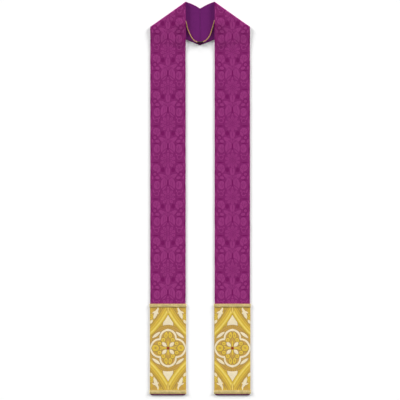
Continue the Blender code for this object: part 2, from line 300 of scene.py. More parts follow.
QUATREFOIL_HEART = (
    ("oval", 0, 0, 21, 21, 0, 0, "ochre"),
    ("leaf", 13.2, 13.2, 12.2, 7.6, 45, 0, "brown"),
    ("leaf", 13.2, 13.2, 10.5, 6.2, 45, 0, "cream"),
    ("leaf", 0, 14, 16, 4.2, 90, 0, "brown"),
    ("leaf", 0, 14, 15, 3.2, 90, 0, "bright"),
    ("leaf", 14, 0, 16, 4.2, 0, 0, "brown"),
    ("leaf", 14, 0, 15, 3.2, 0, 0, "bright"),
    ("oval", 0, 0, 5.8, 5.8, 0, 0, "brown"),
    ("oval", 0, 0, 4.8, 4.8, 0, 0, "red"),
)
FIGURE_EDGE = 0.24  # in millimetres, over which a figure's edge passes into what lies under it

# How far each thread stands out of the brocade, as a share of its relief.
THREAD_RISE = {
    "gold": 0.55,
    "bright": 0.9,
    "shine": 1.0,
    "ochre": 0.4,
    "cream": 0.6,
    "brown": 0.0,
    "red": 1.0,
}

# Soft ridges in the bands: side, across from the band's middle, along, half length, half width, tilt in
# degrees, height. All but the side and the tilt are in millimetres.
RIDGES = (
    (1, 18, 330, 95, 13, 84, 0.7),
    (1, -28, 205, 70, 10, 96, 0.5),
    (1, 30, 60, 110, 15, 88, 0.6),
    (1, -12, -90, 80, 12, 93, 0.45),
    (1, 22, -210, 90, 11, 86, 0.5),
    (-1, -20, 345, 85, 12, 97, 0.6),
    (-1, 26, 240, 100, 14, 85, 0.65),
    (-1, -30, 95, 75, 10, 92, 0.45),
    (-1, 10, -40, 105, 13, 88, 0.6),
    (-1, -24, -190, 85, 12, 95, 0.5),
)


def linear(code):
    """The linear colour, with full alpha, of an sRGB hex value."""
    channels = [int(code[at:at + 2], 16) / 255 for at in (1, 3, 5)]
    return (*(c / 12.92 if c <= 0.04045 else ((c + 0.055) / 1.055) ** 2.4 for c in channels), 1.0)


def colour_property(name, description, code):
    return FloatVectorProperty(
        name=name, description=description, default=linear(code), size=4, min=0.0, max=1.0, subtype="COLOR"
    )


def length_property(name, description, default):
    return FloatProperty(
        name=name, description=description, default=default, min=0.0, unit="LENGTH", precision=5
    )


def share_property(name, description, default):
    return FloatProperty(name=name, description=description, default=default, min=0.0)


def angle_property(name, description, degrees):
    return FloatProperty(name=name, description=description, default=math.radians(degrees), subtype="ANGLE")


# --------------------------------------------------------------------------------------------------
# Settings


class StoleStageSettings(bpy.types.PropertyGroup):
    floor: colour_property("Floor", "Colour of the plain floor", "#fdfdfd")
    sky: share_property("Sky", "Brightness of the even light from all round", 0.10)
    top_light: share_property("Top Light", "Share of the light that comes from straight above", 0.12)
    neck_light: share_property("Neck Light", "Share of the light that comes low from beyond the neck", 0.14)
    side_light: share_property("Side Light", "Share of the low light from beyond each shoulder", 0.34)
    light_height: angle_property("Light Height", "Angle of the low lights above the floor", 13.5)
    light_spread: angle_property("Light Spread", "Width of each light as the cloth sees it", 15)
    camera_height: length_property("Camera Height", "Height of the camera above the table", 4.75)
    view_width: length_property("View Width", "Width of the view at the table", 1.424)
    view_drop: length_property("View Drop", "How far below the stole's middle the view is centred", 6.0 * MM)


class StoleDamaskSettings(bpy.types.PropertyGroup):
    satin: colour_property("Satin", "Colour of the satin figure", "#933677")
    ground: colour_property("Ground", "Colour of the duller ground", "#741b5b")
    thread: length_property("Thread Step", "Width of the steps in the figure's edge", 0.5 * MM)
    row_step: length_property("Row Step", "Spacing of the mesh's rows along the band", 3.0 * MM)
    seam_allowance: length_property("Seam Allowance", "Width of the cloth turned in at the edges", 12.0 * MM)
    hollow: length_property("Hollow", "How much thinner the cloth is inside the seam allowance", 0.2 * MM)
    underside: length_property("Underside", "Height of the damask's underside in the layers", 0.7 * MM)


class StoleLiningSettings(bpy.types.PropertyGroup):
    colour: colour_property("Lining", "Colour of the lining", "#6a2368")
    thickness: length_property("Thickness", "Thickness of the lining with its turned edge", 0.6 * MM)
    inset: length_property("Inset", "How far inside the damask's edge the lining stops", 1.4 * MM)


class StoleBrocadeSettings(bpy.types.PropertyGroup):
    gold: colour_property("Gold", "Colour of the plain gold thread", "#d2ae46")
    bright: colour_property("Bright Gold", "Colour of the raised gold thread", "#e0c04b")
    # Shine is a painted highlight in the brightest gold, along the straps; the short stroke above the arch
    # takes it too.
    shine: colour_property("Shine", "Colour of the brightest gold thread", "#ecd56f")
    ochre: colour_property("Ochre", "Colour of the dull gold thread", "#c9a150")
    cream: colour_property("Cream", "Colour of the cream silk", "#ebddbb")
    brown: colour_property("Brown", "Colour of the outlines", "#b18f50")
    red: colour_property("Red", "Colour of the dot in the middle", "#96382a")
    relief: length_property("Relief", "Height of the raised threads", 0.35 * MM)
    thread: length_property("Thread Step", "Width of the steps in the figure's edge", 0.8 * MM)
    grid: length_property("Grid", "Spacing of the mesh's points", 1.25 * MM)
    thickness: length_property("Thickness", "Thickness of the brocade", 0.9 * MM)


class StoleBraidSettings(bpy.types.PropertyGroup):
    ribs: colour_property("Ribs", "Colour of the woven ribs", "#ceba82")
    edges: colour_property("Edges", "Colour of the edge cords", "#ceb771")
    lanes: IntProperty(name="Lanes", description="Lanes of slanting ribs side by side", default=4, min=1)
    rib_step: length_property("Rib Step", "Spacing of the ribs", 1.5 * MM)
    rib_thickness: length_property("Rib Thickness", "Thickness of a rib", 1.0 * MM)
    edge_diameter: length_property("Edge Diameter", "Diameter of an edge cord", 1.3 * MM)


class StoleCordSettings(bpy.types.PropertyGroup):
    gold: colour_property("Cord", "Colour of the twisted cord", "#c9a067")
    olive: colour_property("Binding", "Colour of the thread binding", "#413b24")
    lay: length_property("Lay", "Length of one full turn of the strands", 11.0 * MM)
    strands: IntProperty(name="Strands", description="Strands in the cord", default=3, min=2)
    thread: length_property("Binding Thread", "Diameter of the thread wound round the cord", 0.6 * MM)


class StoleStitchSettings(bpy.types.PropertyGroup):
    purple: colour_property("Purple Thread", "Colour of the thread along the lining", "#5e1a58")
    pale: colour_property("Pale Thread", "Colour of the thread along the braid", "#e0d3a2")
    spacing: length_property("Spacing", "From one stitch to the next", 4.5 * MM)
    length: length_property("Length", "Length of a stitch", 1.8 * MM)
    thread: length_property("Thread", "Diameter of the sewing thread", 0.4 * MM)


SETTING_GROUPS = (
    ("stage", "Stage", StoleStageSettings),
    ("damask", "Damask", StoleDamaskSettings),
    ("lining", "Lining", StoleLiningSettings),
    ("brocade", "Brocade", StoleBrocadeSettings),
    ("braid", "Braid", StoleBraidSettings),
    ("cord", "Cord", StoleCordSettings),
    ("stitches", "Stitches", StoleStitchSettings),
)


class StoleSettings(bpy.types.PropertyGroup):
    stage: PointerProperty(type=StoleStageSettings, name="Stage", description="Floor, light and camera")
    damask: PointerProperty(type=StoleDamaskSettings, name="Damask", description="The purple face")
    lining: PointerProperty(type=StoleLiningSettings, name="Lining", description="The violet lining")
    brocade: PointerProperty(type=StoleBrocadeSettings, name="Brocade", description="The gold ends")
    braid: PointerProperty(type=StoleBraidSettings, name="Braid", description="The braid on the ends")
    cord: PointerProperty(type=StoleCordSettings, name="Cord", description="The neck cord and its binding")
    stitches: PointerProperty(type=StoleStitchSettings, name="Stitches", description="The stitches that show")


# --------------------------------------------------------------------------------------------------
# Shape of the cloth. A place on it is where it lies and how far round the fold it has gone. Everything is
# worked out on the right half.


def ease(value, start, end):
    """0 up to start, 1 from end on, and a smooth S between them."""
    share = np.clip((value - start) / (end - start), 0.0, 1.0)
    return share * share * (3.0 - 2.0 * share)


def fold_start(share):
    """Where the band meets the fold's axis, at these shares of its width."""
    above = math.cos(FOLD_ANGLE) * FOLD_OUTSIDE * math.sin(PEAK_TURN)
    above += math.sin(FOLD_ANGLE) * SHIFT_PER_RADIAN * PEAK_TURN
    return INNER_X + share * BAND_WIDTH, PEAK_Y - above - share * SHOULDER_DROP


def fold_place(share, turn):
    x, y = fold_start(share)
    return x - ALONG_FOLD.x * SHIFT_PER_RADIAN * turn, y - ALONG_FOLD.y * SHIFT_PER_RADIAN * turn


def back_place(share, part):
    """Places on the back: part is 0 at the fold and 1 at the centre seam."""
    start_x, start_y = fold_place(share, math.pi)
    x = start_x * (1.0 - part)
    scoop = NECK_SCOOP + (BACK_SCOOP - NECK_SCOOP) * share
    return x, start_y - (start_x - x) * math.tan(BACK_ANGLE) - scoop * part**2


def front_height(x, y):
    """How high the band's underside lies: on the back where there is one, lifted by the fold and the cord."""
    neck_x, neck_y = fold_start(0.0)
    from_fold = (neck_x - x) * OUT_OF_FOLD.x + (neck_y - y) * OUT_OF_FOLD.y
    corner_x, corner_y = back_place(1.0, 0.0)
    past_back = (x - corner_x) * math.sin(BACK_ANGLE) + (corner_y - y) * math.cos(BACK_ANGLE)
    across, down, _ = CORD_ROUTE[-2]
    from_cord = np.hypot(across - x, PEAK_Y - down - y)
    on_back = CLOTH_THICK + SEAM_GAP
    lift = FOLD_OUTSIDE + FOLD_INSIDE - on_back
    by_fold = 1.0 - ease(from_fold, 0.0, LOFT_REACH)
    by_cord = 1.0 - ease(from_cord, TENT_FLAT, TENT_REACH)
    step = on_back * (1.0 - ease(past_back, STEP_START, STEP_END))
    return step + lift * (1.0 - (1.0 - by_fold) * (1.0 - by_cord))


def cloth_points(x, y, turn, depth):
    """The points of the cloth at a depth below these places, counted from the bare side of the lining."""
    radius = FOLD_INSIDE + depth
    out = radius * np.sin(turn)
    folded = FOLD_OUTSIDE + radius * np.cos(turn)
    z = np.where(turn > 0.0, folded, front_height(x, y) + depth)
    return np.stack([x + OUT_OF_FOLD.x * out, y + OUT_OF_FOLD.y * out, z], axis=-1)


def ridge_lift(side, x, y):
    """How far the listed ridges lift the front band."""
    lift = np.zeros_like(x)
    for ridge_side, across, along, half_length, half_width, tilt, height in RIDGES:
        if ridge_side == side:
            angle = math.radians(tilt)
            right, up = x - CENTRE_X - across * MM, y - along * MM
            run = (right * math.cos(angle) + up * math.sin(angle)) / (half_length * MM)
            rise = (up * math.cos(angle) - right * math.sin(angle)) / (half_width * MM)
            lift += height * MM * np.exp(-(run**2) - rise**2)
    return lift


def edge_wander(side, along):
    """How far a hand-sewn edge strays from its line, at this distance along it."""
    slow = 0.16 * np.sin(along / (23 * MM) + side) + 0.12 * np.sin(along / (11.3 * MM) - 2 * side)
    stitches = 0.05 * np.sin(along * 2 * math.pi / (9 * MM))
    return (slow + stitches) * MM


def strip_rows(inset, row_step):
    """Each row across the strip from the hem to the centre seam: stretch and position along it."""
    rows = [("hem", step) for step in np.array((0.0, 0.08, 0.3, 0.65, 1.1, 1.8, 2.8, 3.9)) * MM]
    start = HEM_Y + inset + HEM_CORNER
    count = round((RAMP_Y - start) / row_step)
    rows += [("band", y) for y in np.linspace(start, RAMP_Y, count, endpoint=False)]
    rows += [("shoulder", part) for part in np.linspace(0.0, 1.0, 56)]
    rows += [("fold", turn) for turn in np.linspace(0.0, math.pi, 25)[1:]]
    rows += [("back", part) for part in np.linspace(0.0, 0.98, 44)[1:]]
    rows += [("back", part) for part in (0.988, 0.993, 0.9965, 0.9985, 0.9996)]
    return rows


def strip_columns(inset):
    """Distances across the strip from the neck edge, closer together where its edges turn over."""
    rim = np.array((0.0, 0.06, 0.2, 0.45, 0.8, 1.3, 2.2, 3.6, 5.6, 8.0, 10.2, 12.4, 14.6)) * MM
    middle = np.linspace(17.5 * MM, BAND_WIDTH - 2 * inset - 17.5 * MM, 19)
    return inset + np.concatenate([rim, middle, (BAND_WIDTH - 2 * inset - rim)[::-1]])


def strip_grid(side, inset, row_step):
    """A strip's points: their places, where they lie on the flat cloth, and how far each is from the rim."""
    columns = strip_columns(inset)
    fold_run = FOLD_MIDDLE / math.cos(FOLD_ANGLE)
    grid = []
    for stretch, part in strip_rows(inset, row_step):
        along = part if stretch == "band" else HEM_Y if stretch == "hem" else RAMP_Y + WANDER_RUN * part
        rim = np.minimum(columns - inset, BAND_WIDTH - inset - columns)
        share = (columns + edge_wander(side, along) * np.exp(-rim / WANDER_REACH)) / BAND_WIDTH
        x, y = fold_start(share)
        turn = np.zeros_like(x)
        if stretch == "hem":
            half = BAND_WIDTH / 2 - inset
            narrowed = half - HEM_CORNER + math.sqrt(HEM_CORNER**2 - (HEM_CORNER - part) ** 2)
            x = CENTRE_X + (x - CENTRE_X) * narrowed / half
            y = np.full_like(x, HEM_Y + inset + part)
            rim = np.minimum(rim, part)
        elif stretch == "band":
            y = np.full_like(x, part)
            rim = np.minimum(rim, part - HEM_Y - inset)
        elif stretch == "shoulder":
            y = RAMP_Y + (y - RAMP_Y) * part
        flat_y = y
        if stretch == "fold":
            x, y = fold_place(share, part)
            turn = np.full_like(x, part)
            flat_y = flat_y + fold_run * part
        elif stretch == "back":
            start_x, _ = fold_place(share, math.pi)
            x, y = back_place(share, part)
            turn = np.full_like(x, math.pi)
            flat_y = flat_y + fold_run * math.pi + (start_x - x) / math.cos(BACK_ANGLE)
            rim = np.minimum(rim, x)
        grid.append((x, y, turn, share * BAND_WIDTH - BAND_WIDTH / 2, flat_y, rim))
    x, y, turn, flat_x, flat_y, rim = (np.array(part) for part in zip(*grid))
    return {"x": x, "y": y, "turn": turn, "flat": np.stack([flat_x, flat_y], axis=-1), "rim": rim}


def layer_points(grid, side, depth):
    """A layer of the cloth at these depths, with the bands' ridges and mirrored to its own side."""
    points = cloth_points(grid["x"], grid["y"], grid["turn"], depth)
    from_fold = fold_start(0.0)[1] - grid["y"]
    above_panel = grid["y"] - PANEL_HIGH.y
    free = ease(from_fold, RIDGES_FROM, RIDGES_FULL) * ease(above_panel, 0.0, RIDGES_FROM)
    height = points[..., 2]
    height += np.where(grid["turn"] > 0.0, 0.0, ridge_lift(side, grid["x"], grid["y"]) * free)
    on_back = CLOTH_THICK + SEAM_GAP
    kept = 1.0 - (1.0 - PRESSED) * ease(grid["x"] - INNER_X, PRESSED_FROM, PRESSED_TO)
    points[..., 2] = np.where(height > on_back, on_back + (height - on_back) * kept, height)
    points[..., 0] *= side
    return points


def rounded(rim, radius):
    """How full a layer is at this distance from its rim: nearly 0 at the rim itself and 1 past the radius."""
    share = np.clip(rim / radius, 0.02, 1.0)
    return np.sqrt(1.0 - (1.0 - share) ** 2)


def add_object(name, mesh, material=None):
    if material:
        mesh.materials.append(material)
    piece = bpy.data.objects.new(name, mesh)
    bpy.context.scene.collection.objects.link(piece)
    return piece


def closed_shell(name, over, under, flat, side, material, rim=None):
    """A closed mesh between two grids of points, with the flat cloth's places as its UV map.

    A rim gives each point's distance from the piece's edge, in metres, for its material.
    """
    rows, columns = over.shape[:2]
    numbers = np.arange(2 * rows * columns).reshape(2, rows, columns)
    quads = []
    for layer, order in ((0, 1), (1, -1)):
        cells = numbers[layer]
        square = np.stack([cells[:-1, :-1], cells[:-1, 1:], cells[1:, 1:], cells[1:, :-1]], axis=-1)
        quads.append(square.reshape(-1, 4)[:, ::order])
    edges = (numbers[:, 0], numbers[:, :, -1], numbers[:, -1, ::-1], numbers[:, ::-1, 0])
    loop = np.concatenate([edge[:, :-1] for edge in edges], axis=1)
    there = np.roll(loop, -1, axis=1)
    quads.append(np.stack([loop[1], there[1], there[0], loop[0]], axis=-1))
    faces = np.concatenate(quads)[:, ::side]
    mesh = bpy.data.meshes.new(name)
    mesh.from_pydata(np.concatenate([over.reshape(-1, 3), under.reshape(-1, 3)]).tolist(), [], faces.tolist())
    corners = np.zeros(len(mesh.loops), dtype=np.int32)
    mesh.loops.foreach_get("vertex_index", corners)
    both = np.concatenate([flat.reshape(-1, 2)] * 2)
    mesh.uv_layers.new(name=CLOTH_MAP).data.foreach_set("uv", both[corners].astype(np.float32).ravel())
    if rim is not None:
        reach = np.concatenate([rim.ravel()] * 2)
        mesh.attributes.new(RIM, "FLOAT", "POINT").data.foreach_set("value", reach)
    mesh.shade_smooth()
    return add_object(name, mesh, material)


def turned_section(half, top, radius, foot, step):
    """A section across the end trim: flat over the band and turned down over its edges.

    Gives each point's place, its outward direction and how far along the cloth it is from the middle.
    """
    count = max(2, round((half - radius) / step))
    angles = np.linspace(0.0, math.pi / 2, 9)[1:]
    side = np.linspace(top - radius, foot, 4)[1:]
    x = np.concatenate([np.linspace(0.0, half - radius, count + 1), half - radius + radius * np.sin(angles)])
    z = np.concatenate([np.full(count + 1, top), top - radius + radius * np.cos(angles), side])
    x = np.concatenate([x, np.full(len(side), half)])
    out = np.zeros((len(x), 2))
    out[: count + 1] = (0.0, 1.0)
    out[count + 1 : count + 9] = np.stack([np.sin(angles), np.cos(angles)], axis=-1)
    out[count + 9 :] = (1.0, 0.0)
    run = np.concatenate([[0.0], np.cumsum(np.hypot(np.diff(x), np.diff(z)))])
    mirrored = slice(None, 0, -1)
    place = np.stack([np.concatenate([-x[mirrored], x]), np.concatenate([z[mirrored], z])], axis=-1)
    outward = np.concatenate([out[mirrored] * (-1.0, 1.0), out])
    return place, outward, np.concatenate([-run[mirrored], run])


def across_end(place, outward, middle_x, y):
    """The points of a section set across one end of the stole, and their outward directions."""
    points = np.stack([place[:, 0] + middle_x, np.full(len(place), y), place[:, 1]], axis=-1)
    return points, np.stack([outward[:, 0], np.zeros(len(place)), outward[:, 1]], axis=-1)


def figure_distance(kind, half_length, half_width, along, across):
    """Distance outside an oval or a pointed leaf, from places measured along and across it."""
    if kind == "oval":
        return (np.hypot(along / half_length, across / half_width) - 1.0) * min(half_length, half_width)
    radius = (half_length**2 + half_width**2) / (2 * half_width)
    return np.hypot(along, np.abs(across) + radius - half_width) - radius


def on_ring(radius, angle):
    """Where a ring meets this angle in degrees, across and along."""
    turned = math.radians(angle)
    return radius * math.cos(turned), radius * math.sin(turned)


def damask_chart():
    """All rows of the damask's figure, with the medallion's petals worked out."""
    petals, veins, inner = [], [], []
    for angle in range(90, -91, -PETAL_TURN):
        centre = on_ring(PETAL_RING, angle)
        petals.append(("oval", *centre, 7.6, 5.2, angle, 0, 1.0))
        veins.append(("leaf", *centre, 4.6, 1.0, angle, 0, 0.3))
    for angle in range(90 - PETAL_TURN // 2, -91, -PETAL_TURN):
        inner.append(("leaf", *on_ring(INNER_RING, angle), 4.2, 2.4, angle, 0, 1.0))
    plain = (*DAMASK_FAN, *DAMASK_SCROLLS, *DAMASK_GROUND, *DAMASK_OGEE)
    return [*plain, *petals, *veins, *inner, *ROSETTE_EYE]


def brocade_chart():
    """All rows of the brocade's figure, with the dotted arch and the lobes worked out."""
    dots, lobes = [], []
    for number in range(ARCH_DOTS):
        centre = on_ring(DOT_RING, 90 - DOT_TURN * (number + 0.5))
        dots.append(("oval", *centre, DOT_RADIUS, DOT_RADIUS, 0, 0, "brown"))
    for kind, across, along, half_length, half_width, tilt in QUATREFOIL_LOBES:
        lobes.append((kind, across, along, half_length + 2.0, half_width + 2.0, tilt, 0, "brown"))
        lobes.append((kind, across, along, half_length - 0.5, half_width - 0.5, tilt, 0, "bright"))
        lobes.append(("oval", across, along, half_length * 0.32, half_width * 0.32, tilt, 0, "ochre"))
    around = (*BROCADE_CORNERS, *BROCADE_ARCH, *dots, *BROCADE_STRAPS, *BROCADE_STARS)
    return [*around, *QUATREFOIL, *lobes, *QUATREFOIL_HEART]


def brocade_rise(across, along):
    """The brocade's relief, from 0 to 1, at places in millimetres from its figure's centre."""
    across, along = np.abs(across), np.abs(along)
    rise = np.full(across.shape, THREAD_RISE["gold"])
    for kind, x, y, half_length, half_width, tilt, line, thread in brocade_chart():
        angle = math.radians(tilt)
        right, up = across - x, along - y
        run = right * math.cos(angle) + up * math.sin(angle)
        over = up * math.cos(angle) - right * math.sin(angle)
        distance = figure_distance(kind, half_length, half_width, run, over)
        if line:
            distance = np.abs(distance) - line / 2
        cover = 1.0 - ease(distance, -0.6, 0.6)
        rise = rise * (1.0 - cover) + THREAD_RISE[thread] * cover
    return rise


# --------------------------------------------------------------------------------------------------
# Materials

MATH = "ShaderNodeMath"
VECTOR_MATH = "ShaderNodeVectorMath"


def add_node(tree, kind, inputs=None, **settings):
    """Adds a node with its settings. Each input is given a value, an output to link to, or a list of them."""
    node = tree.nodes.new(kind)
    for name, value in settings.items():
        setattr(node, name, value)
    for key, value in (inputs or {}).items():
        outputs = value if isinstance(value, list) else [value]
        if isinstance(outputs[0], bpy.types.NodeSocket):
            for output in outputs:
                tree.links.new(output, node.inputs[key])
        else:
            node.inputs[key].default_value = value
    return node


def node_chain(tree, kind, value, *steps):
    """Passes a value through nodes of a kind in turn. Each step is an operation and its other inputs."""
    for operation, *others in steps:
        value = add_node(tree, kind, dict(enumerate((value, *others))), operation=operation).outputs[0]
    return value


def new_material(name):
    """An empty material and its shader, linked to the output."""
    material = bpy.data.materials.new(name)
    material.use_nodes = True
    return material, material.node_tree, material.node_tree.nodes["Principled BSDF"]


def add_sockets(tree, direction, sockets):
    """Gives a tree its inputs or outputs, each with a name and a form."""
    for name, form in sockets:
        tree.interface.new_socket(name, in_out=direction, socket_type=f"NodeSocket{form}")


def figure_group(kind, lined):
    """A node group that paints one woven figure over what lies under it."""
    name = f"woven {kind} line" if lined else f"woven {kind}"
    tree = bpy.data.node_groups.get(name)
    if tree:
        return tree
    tree = bpy.data.node_groups.new(name, "ShaderNodeTree")
    sockets = (
        ("Place", "Vector"), ("Centre", "Vector"), ("Turn", "Vector"), ("Shape", "Vector"),
        ("Radius", "Float"), ("Line", "Float"), ("Grow", "Float"), ("Under Colour", "Color"),
        ("Colour", "Color"), ("Under Rise", "Float"), ("Rise", "Float"),
    )
    add_sockets(tree, "INPUT", sockets)
    add_sockets(tree, "OUTPUT", (("Place", "Vector"), ("Colour", "Color"), ("Rise", "Float")))
    given = add_node(tree, "NodeGroupInput").outputs
    turned = {"Vector": given["Place"], "Location": given["Centre"], "Rotation": given["Turn"]}
    if kind == "oval":
        turned["Scale"] = given["Shape"]
    placed = add_node(tree, "ShaderNodeMapping", turned, vector_type="TEXTURE").outputs[0]
    if kind == "leaf":
        placed = node_chain(tree, VECTOR_MATH, placed, ("ABSOLUTE",), ("ADD", given["Shape"]))
    reach = add_node(tree, VECTOR_MATH, {0: placed}, operation="LENGTH").outputs["Value"]
    if kind == "oval":
        distance = node_chain(tree, MATH, reach, ("SUBTRACT", 1.0), ("MULTIPLY", given["Radius"]))
    else:
        distance = node_chain(tree, MATH, reach, ("SUBTRACT", given["Radius"]))
    if lined:
        half = node_chain(tree, MATH, given["Line"], ("MULTIPLY", 0.5))
        distance = node_chain(tree, MATH, distance, ("ABSOLUTE",), ("SUBTRACT", half))
    inside = node_chain(tree, MATH, given["Grow"], ("SUBTRACT", distance))
    soft = {"Value": inside, "From Min": -FIGURE_EDGE / 2, "From Max": FIGURE_EDGE / 2}
    cover = add_node(tree, "ShaderNodeMapRange", soft).outputs[0]
    colours = {0: cover, 6: given["Under Colour"], 7: given["Colour"]}
    colour = add_node(tree, "ShaderNodeMix", colours, data_type="RGBA").outputs[2]
    rises = {0: cover, 2: given["Under Rise"], 3: given["Rise"]}
    rise = add_node(tree, "ShaderNodeMix", rises, data_type="FLOAT").outputs[0]
    # The place goes on by way of the rise, so that the renderer works out one figure at a time and doesn't
    # run out of room. The figure moves by less than a thousandth of a millimetre.
    onward = node_chain(tree, VECTOR_MATH, rise, ("MULTIPLY_ADD", (1e-6, 1e-6, 0.0), given["Place"]))
    add_node(tree, "NodeGroupOutput", {"Place": onward, "Colour": colour, "Rise": rise})
    return tree


def paint_figure(tree, under, row, colour, rise, grow=0.0):
    """Paints one row of a chart over what is under it: its place, colour and rise."""
    kind, across, along, half_length, half_width, tilt, line, _ = row
    place, under_colour, under_rise = under
    if kind == "oval":
        shape, radius = (half_length, half_width, 1.0), min(half_length, half_width)
    else:
        radius = (half_length**2 + half_width**2) / (2 * half_width)
        shape = (0.0, radius - half_width, 0.0)
    inputs = {
        "Place": place, "Centre": (across, along, 0.0), "Turn": (0.0, 0.0, math.radians(tilt)),
        "Shape": shape, "Radius": radius, "Line": line, "Grow": grow,
        "Under Colour": under_colour, "Colour": colour, "Under Rise": under_rise, "Rise": rise,
    }
    node = add_node(tree, "ShaderNodeGroup", inputs, node_tree=figure_group(kind, line > 0))
    node.hide = True
    return tuple(node.outputs)


def cloth_place(tree):
    """Places on the flat cloth in millimetres, from the piece's own map."""
    flat = add_node(tree, "ShaderNodeUVMap", uv_map=CLOTH_MAP).outputs[0]
    return add_node(tree, VECTOR_MATH, {0: flat, "Scale": 1 / MM}, operation="SCALE").outputs[0]


def thread_streaks(tree, place, across, along, detail=2.0):
    """Uneven streaks, from 0 to 1, of these sizes in millimetres across and along the cloth."""
    stretched = node_chain(tree, VECTOR_MATH, place, ("MULTIPLY", (1 / across, 1 / along, 1.0)))
    noise = {"Vector": stretched, "Scale": 1.0, "Detail": detail, "Roughness": 0.6}
    return add_node(tree, "ShaderNodeTexNoise", noise, noise_dimensions="2D").outputs[0]


def shaded(tree, colour, *steps):
    """A colour made darker or lighter. Each step is a share and the tones that it gives at 0 and at 1."""
    for share, low, high in steps:
        span = {"Value": share, "To Min": low, "To Max": high}
        tone = add_node(tree, "ShaderNodeMapRange", span).outputs[0]
        colour = add_node(tree, VECTOR_MATH, {0: colour, "Scale": tone}, operation="SCALE").outputs[0]
    return colour


def near_edge(tree, start, end):
    """A share that is 1 at a cloth's edge and 0 from this far inside it."""
    rim = add_node(tree, "ShaderNodeAttribute", attribute_name=RIM).outputs["Fac"]
    span = {"Value": rim, "From Min": start, "From Max": end, "To Min": 1.0, "To Max": 0.0}
    return add_node(tree, "ShaderNodeMapRange", span).outputs[0]


def finish_material(tree, shader, colour, share, roughness, height, relief=MM):
    """Links a colour, a roughness that follows a share from 0 to 1, and a bump from a height."""
    rough = {"Value": share, "To Min": roughness[0], "To Max": roughness[1]}
    bump = {"Height": height, "Distance": relief, "Strength": 1.0}
    tree.links.new(colour, shader.inputs["Base Color"])
    tree.links.new(add_node(tree, "ShaderNodeMapRange", rough).outputs[0], shader.inputs["Roughness"])
    tree.links.new(add_node(tree, "ShaderNodeBump", bump).outputs[0], shader.inputs["Normal"])


def damask_material(settings):
    """Purple silk damask, woven on a jacquard loom: the satin figure catches light and the twill is dull."""
    material, tree, shader = new_material("purple jacquard silk damask")
    place = cloth_place(tree)
    half = DAMASK_REPEAT / 2
    wide = 1000.0  # far past the band's edges, so that nothing repeats across it
    stepped = node_chain(
        tree, VECTOR_MATH, place,
        ("SUBTRACT", (0.0, PEAK_Y / MM - FIRST_ROSETTE, 0.0)),
        ("WRAP", (wide, half, 1.0), (-wide, -half, -1.0)),
        ("SNAP", (settings.thread / MM,) * 3),
    )
    parts = add_node(tree, "ShaderNodeSeparateXYZ", {0: stepped}).outputs
    across = node_chain(tree, MATH, parts[0], ("ABSOLUTE",))
    mirrored = add_node(tree, "ShaderNodeCombineXYZ", {0: across, 1: parts[1]}).outputs[0]
    black = (0.0, 0.0, 0.0, 1.0)
    under = (mirrored, black, DAMASK_BASE)
    for row in damask_chart():
        kind, x, y, half_length, half_width, tilt, line, satin = row
        for shift in (-DAMASK_REPEAT, 0.0, DAMASK_REPEAT):
            if abs(y + shift) > half + max(half_length, half_width) + OUTLINE_WIDTH:
                continue
            moved_row = (kind, x, y + shift, half_length, half_width, tilt, line, satin)
            if satin >= OUTLINED_FROM:
                under = paint_figure(tree, under, moved_row, black, OUTLINE_SATIN, OUTLINE_WIDTH)
            under = paint_figure(tree, under, moved_row, black, satin)
    satin = under[2]
    # A silk thread is about 0.15 mm; the weave is drawn eight times coarser, so that it can show.
    warp = thread_streaks(tree, place, 1.2, 45.0)
    cloudy = thread_streaks(tree, place, 24.0, 40.0)
    silks = {0: satin, 6: settings.ground[:], 7: settings.satin[:]}
    colour = add_node(tree, "ShaderNodeMix", silks, data_type="RGBA").outputs[2]
    # Painted highlight: within 3.5 mm of its edge the damask is made up to a tenth lighter, as where its
    # rolled edge catches the light.
    rim = near_edge(tree, 0.0, 3.5 * MM)
    colour = shaded(tree, colour, (warp, 0.88, 1.12), (cloudy, 0.94, 1.06), (rim, 1.0, 1.1))
    parts = add_node(tree, "ShaderNodeSeparateXYZ", {0: place}).outputs
    twill = node_chain(tree, MATH, parts[0], ("ADD", parts[1]), ("MULTIPLY", TURN / 1.2), ("SINE",))
    floats = node_chain(tree, MATH, parts[0], ("MULTIPLY", TURN / 0.9), ("SINE",))
    weave = add_node(tree, "ShaderNodeMix", {0: satin, 2: twill, 3: floats}, data_type="FLOAT").outputs[0]
    height = node_chain(tree, MATH, satin, ("MULTIPLY", 0.16))
    height = node_chain(tree, MATH, weave, ("MULTIPLY_ADD", 0.02, height))
    height = node_chain(tree, MATH, warp, ("MULTIPLY_ADD", 0.05, height))
    finish_material(tree, shader, colour, satin, (0.72, 0.5), height)
    shader.inputs["Specular IOR Level"].default_value = 0.015
    return material


def lining_material(settings):
    """Violet acetate lining in plain weave. It is smooth and matt, with a few thicker threads."""
    material, tree, shader = new_material("violet plain-weave lining")
    place = cloth_place(tree)
    # The threads are about 0.2 mm; they are drawn five times coarser, so that they can show.
    warp = thread_streaks(tree, place, 1.0, 30.0)
    weft = thread_streaks(tree, place, 30.0, 1.0)
    cloudy = thread_streaks(tree, place, 18.0, 22.0)
    both = node_chain(tree, MATH, warp, ("ADD", weft), ("MULTIPLY", 0.5))
    # Painted shade: within 4.5 mm of its edge the lining is made darker, down to 0.84 of its tone, as the
    # shade along its turned edge.
    rim = near_edge(tree, 0.0, 4.5 * MM)
    colour = shaded(tree, settings.colour[:3], (both, 0.72, 1.28), (cloudy, 0.95, 1.05), (rim, 1.0, 0.84))
    parts = add_node(tree, "ShaderNodeSeparateXYZ", {0: place}).outputs
    ends, picks = (node_chain(tree, MATH, part, ("MULTIPLY", TURN), ("SINE",)) for part in parts[:2])
    weave = node_chain(tree, MATH, ends, ("MULTIPLY", picks), ("MULTIPLY", 0.02))
    height = node_chain(tree, MATH, both, ("MULTIPLY_ADD", 0.08, weave))
    finish_material(tree, shader, colour, both, (0.62, 0.78), height)
    shader.inputs["Specular IOR Level"].default_value = 0.01
    return material


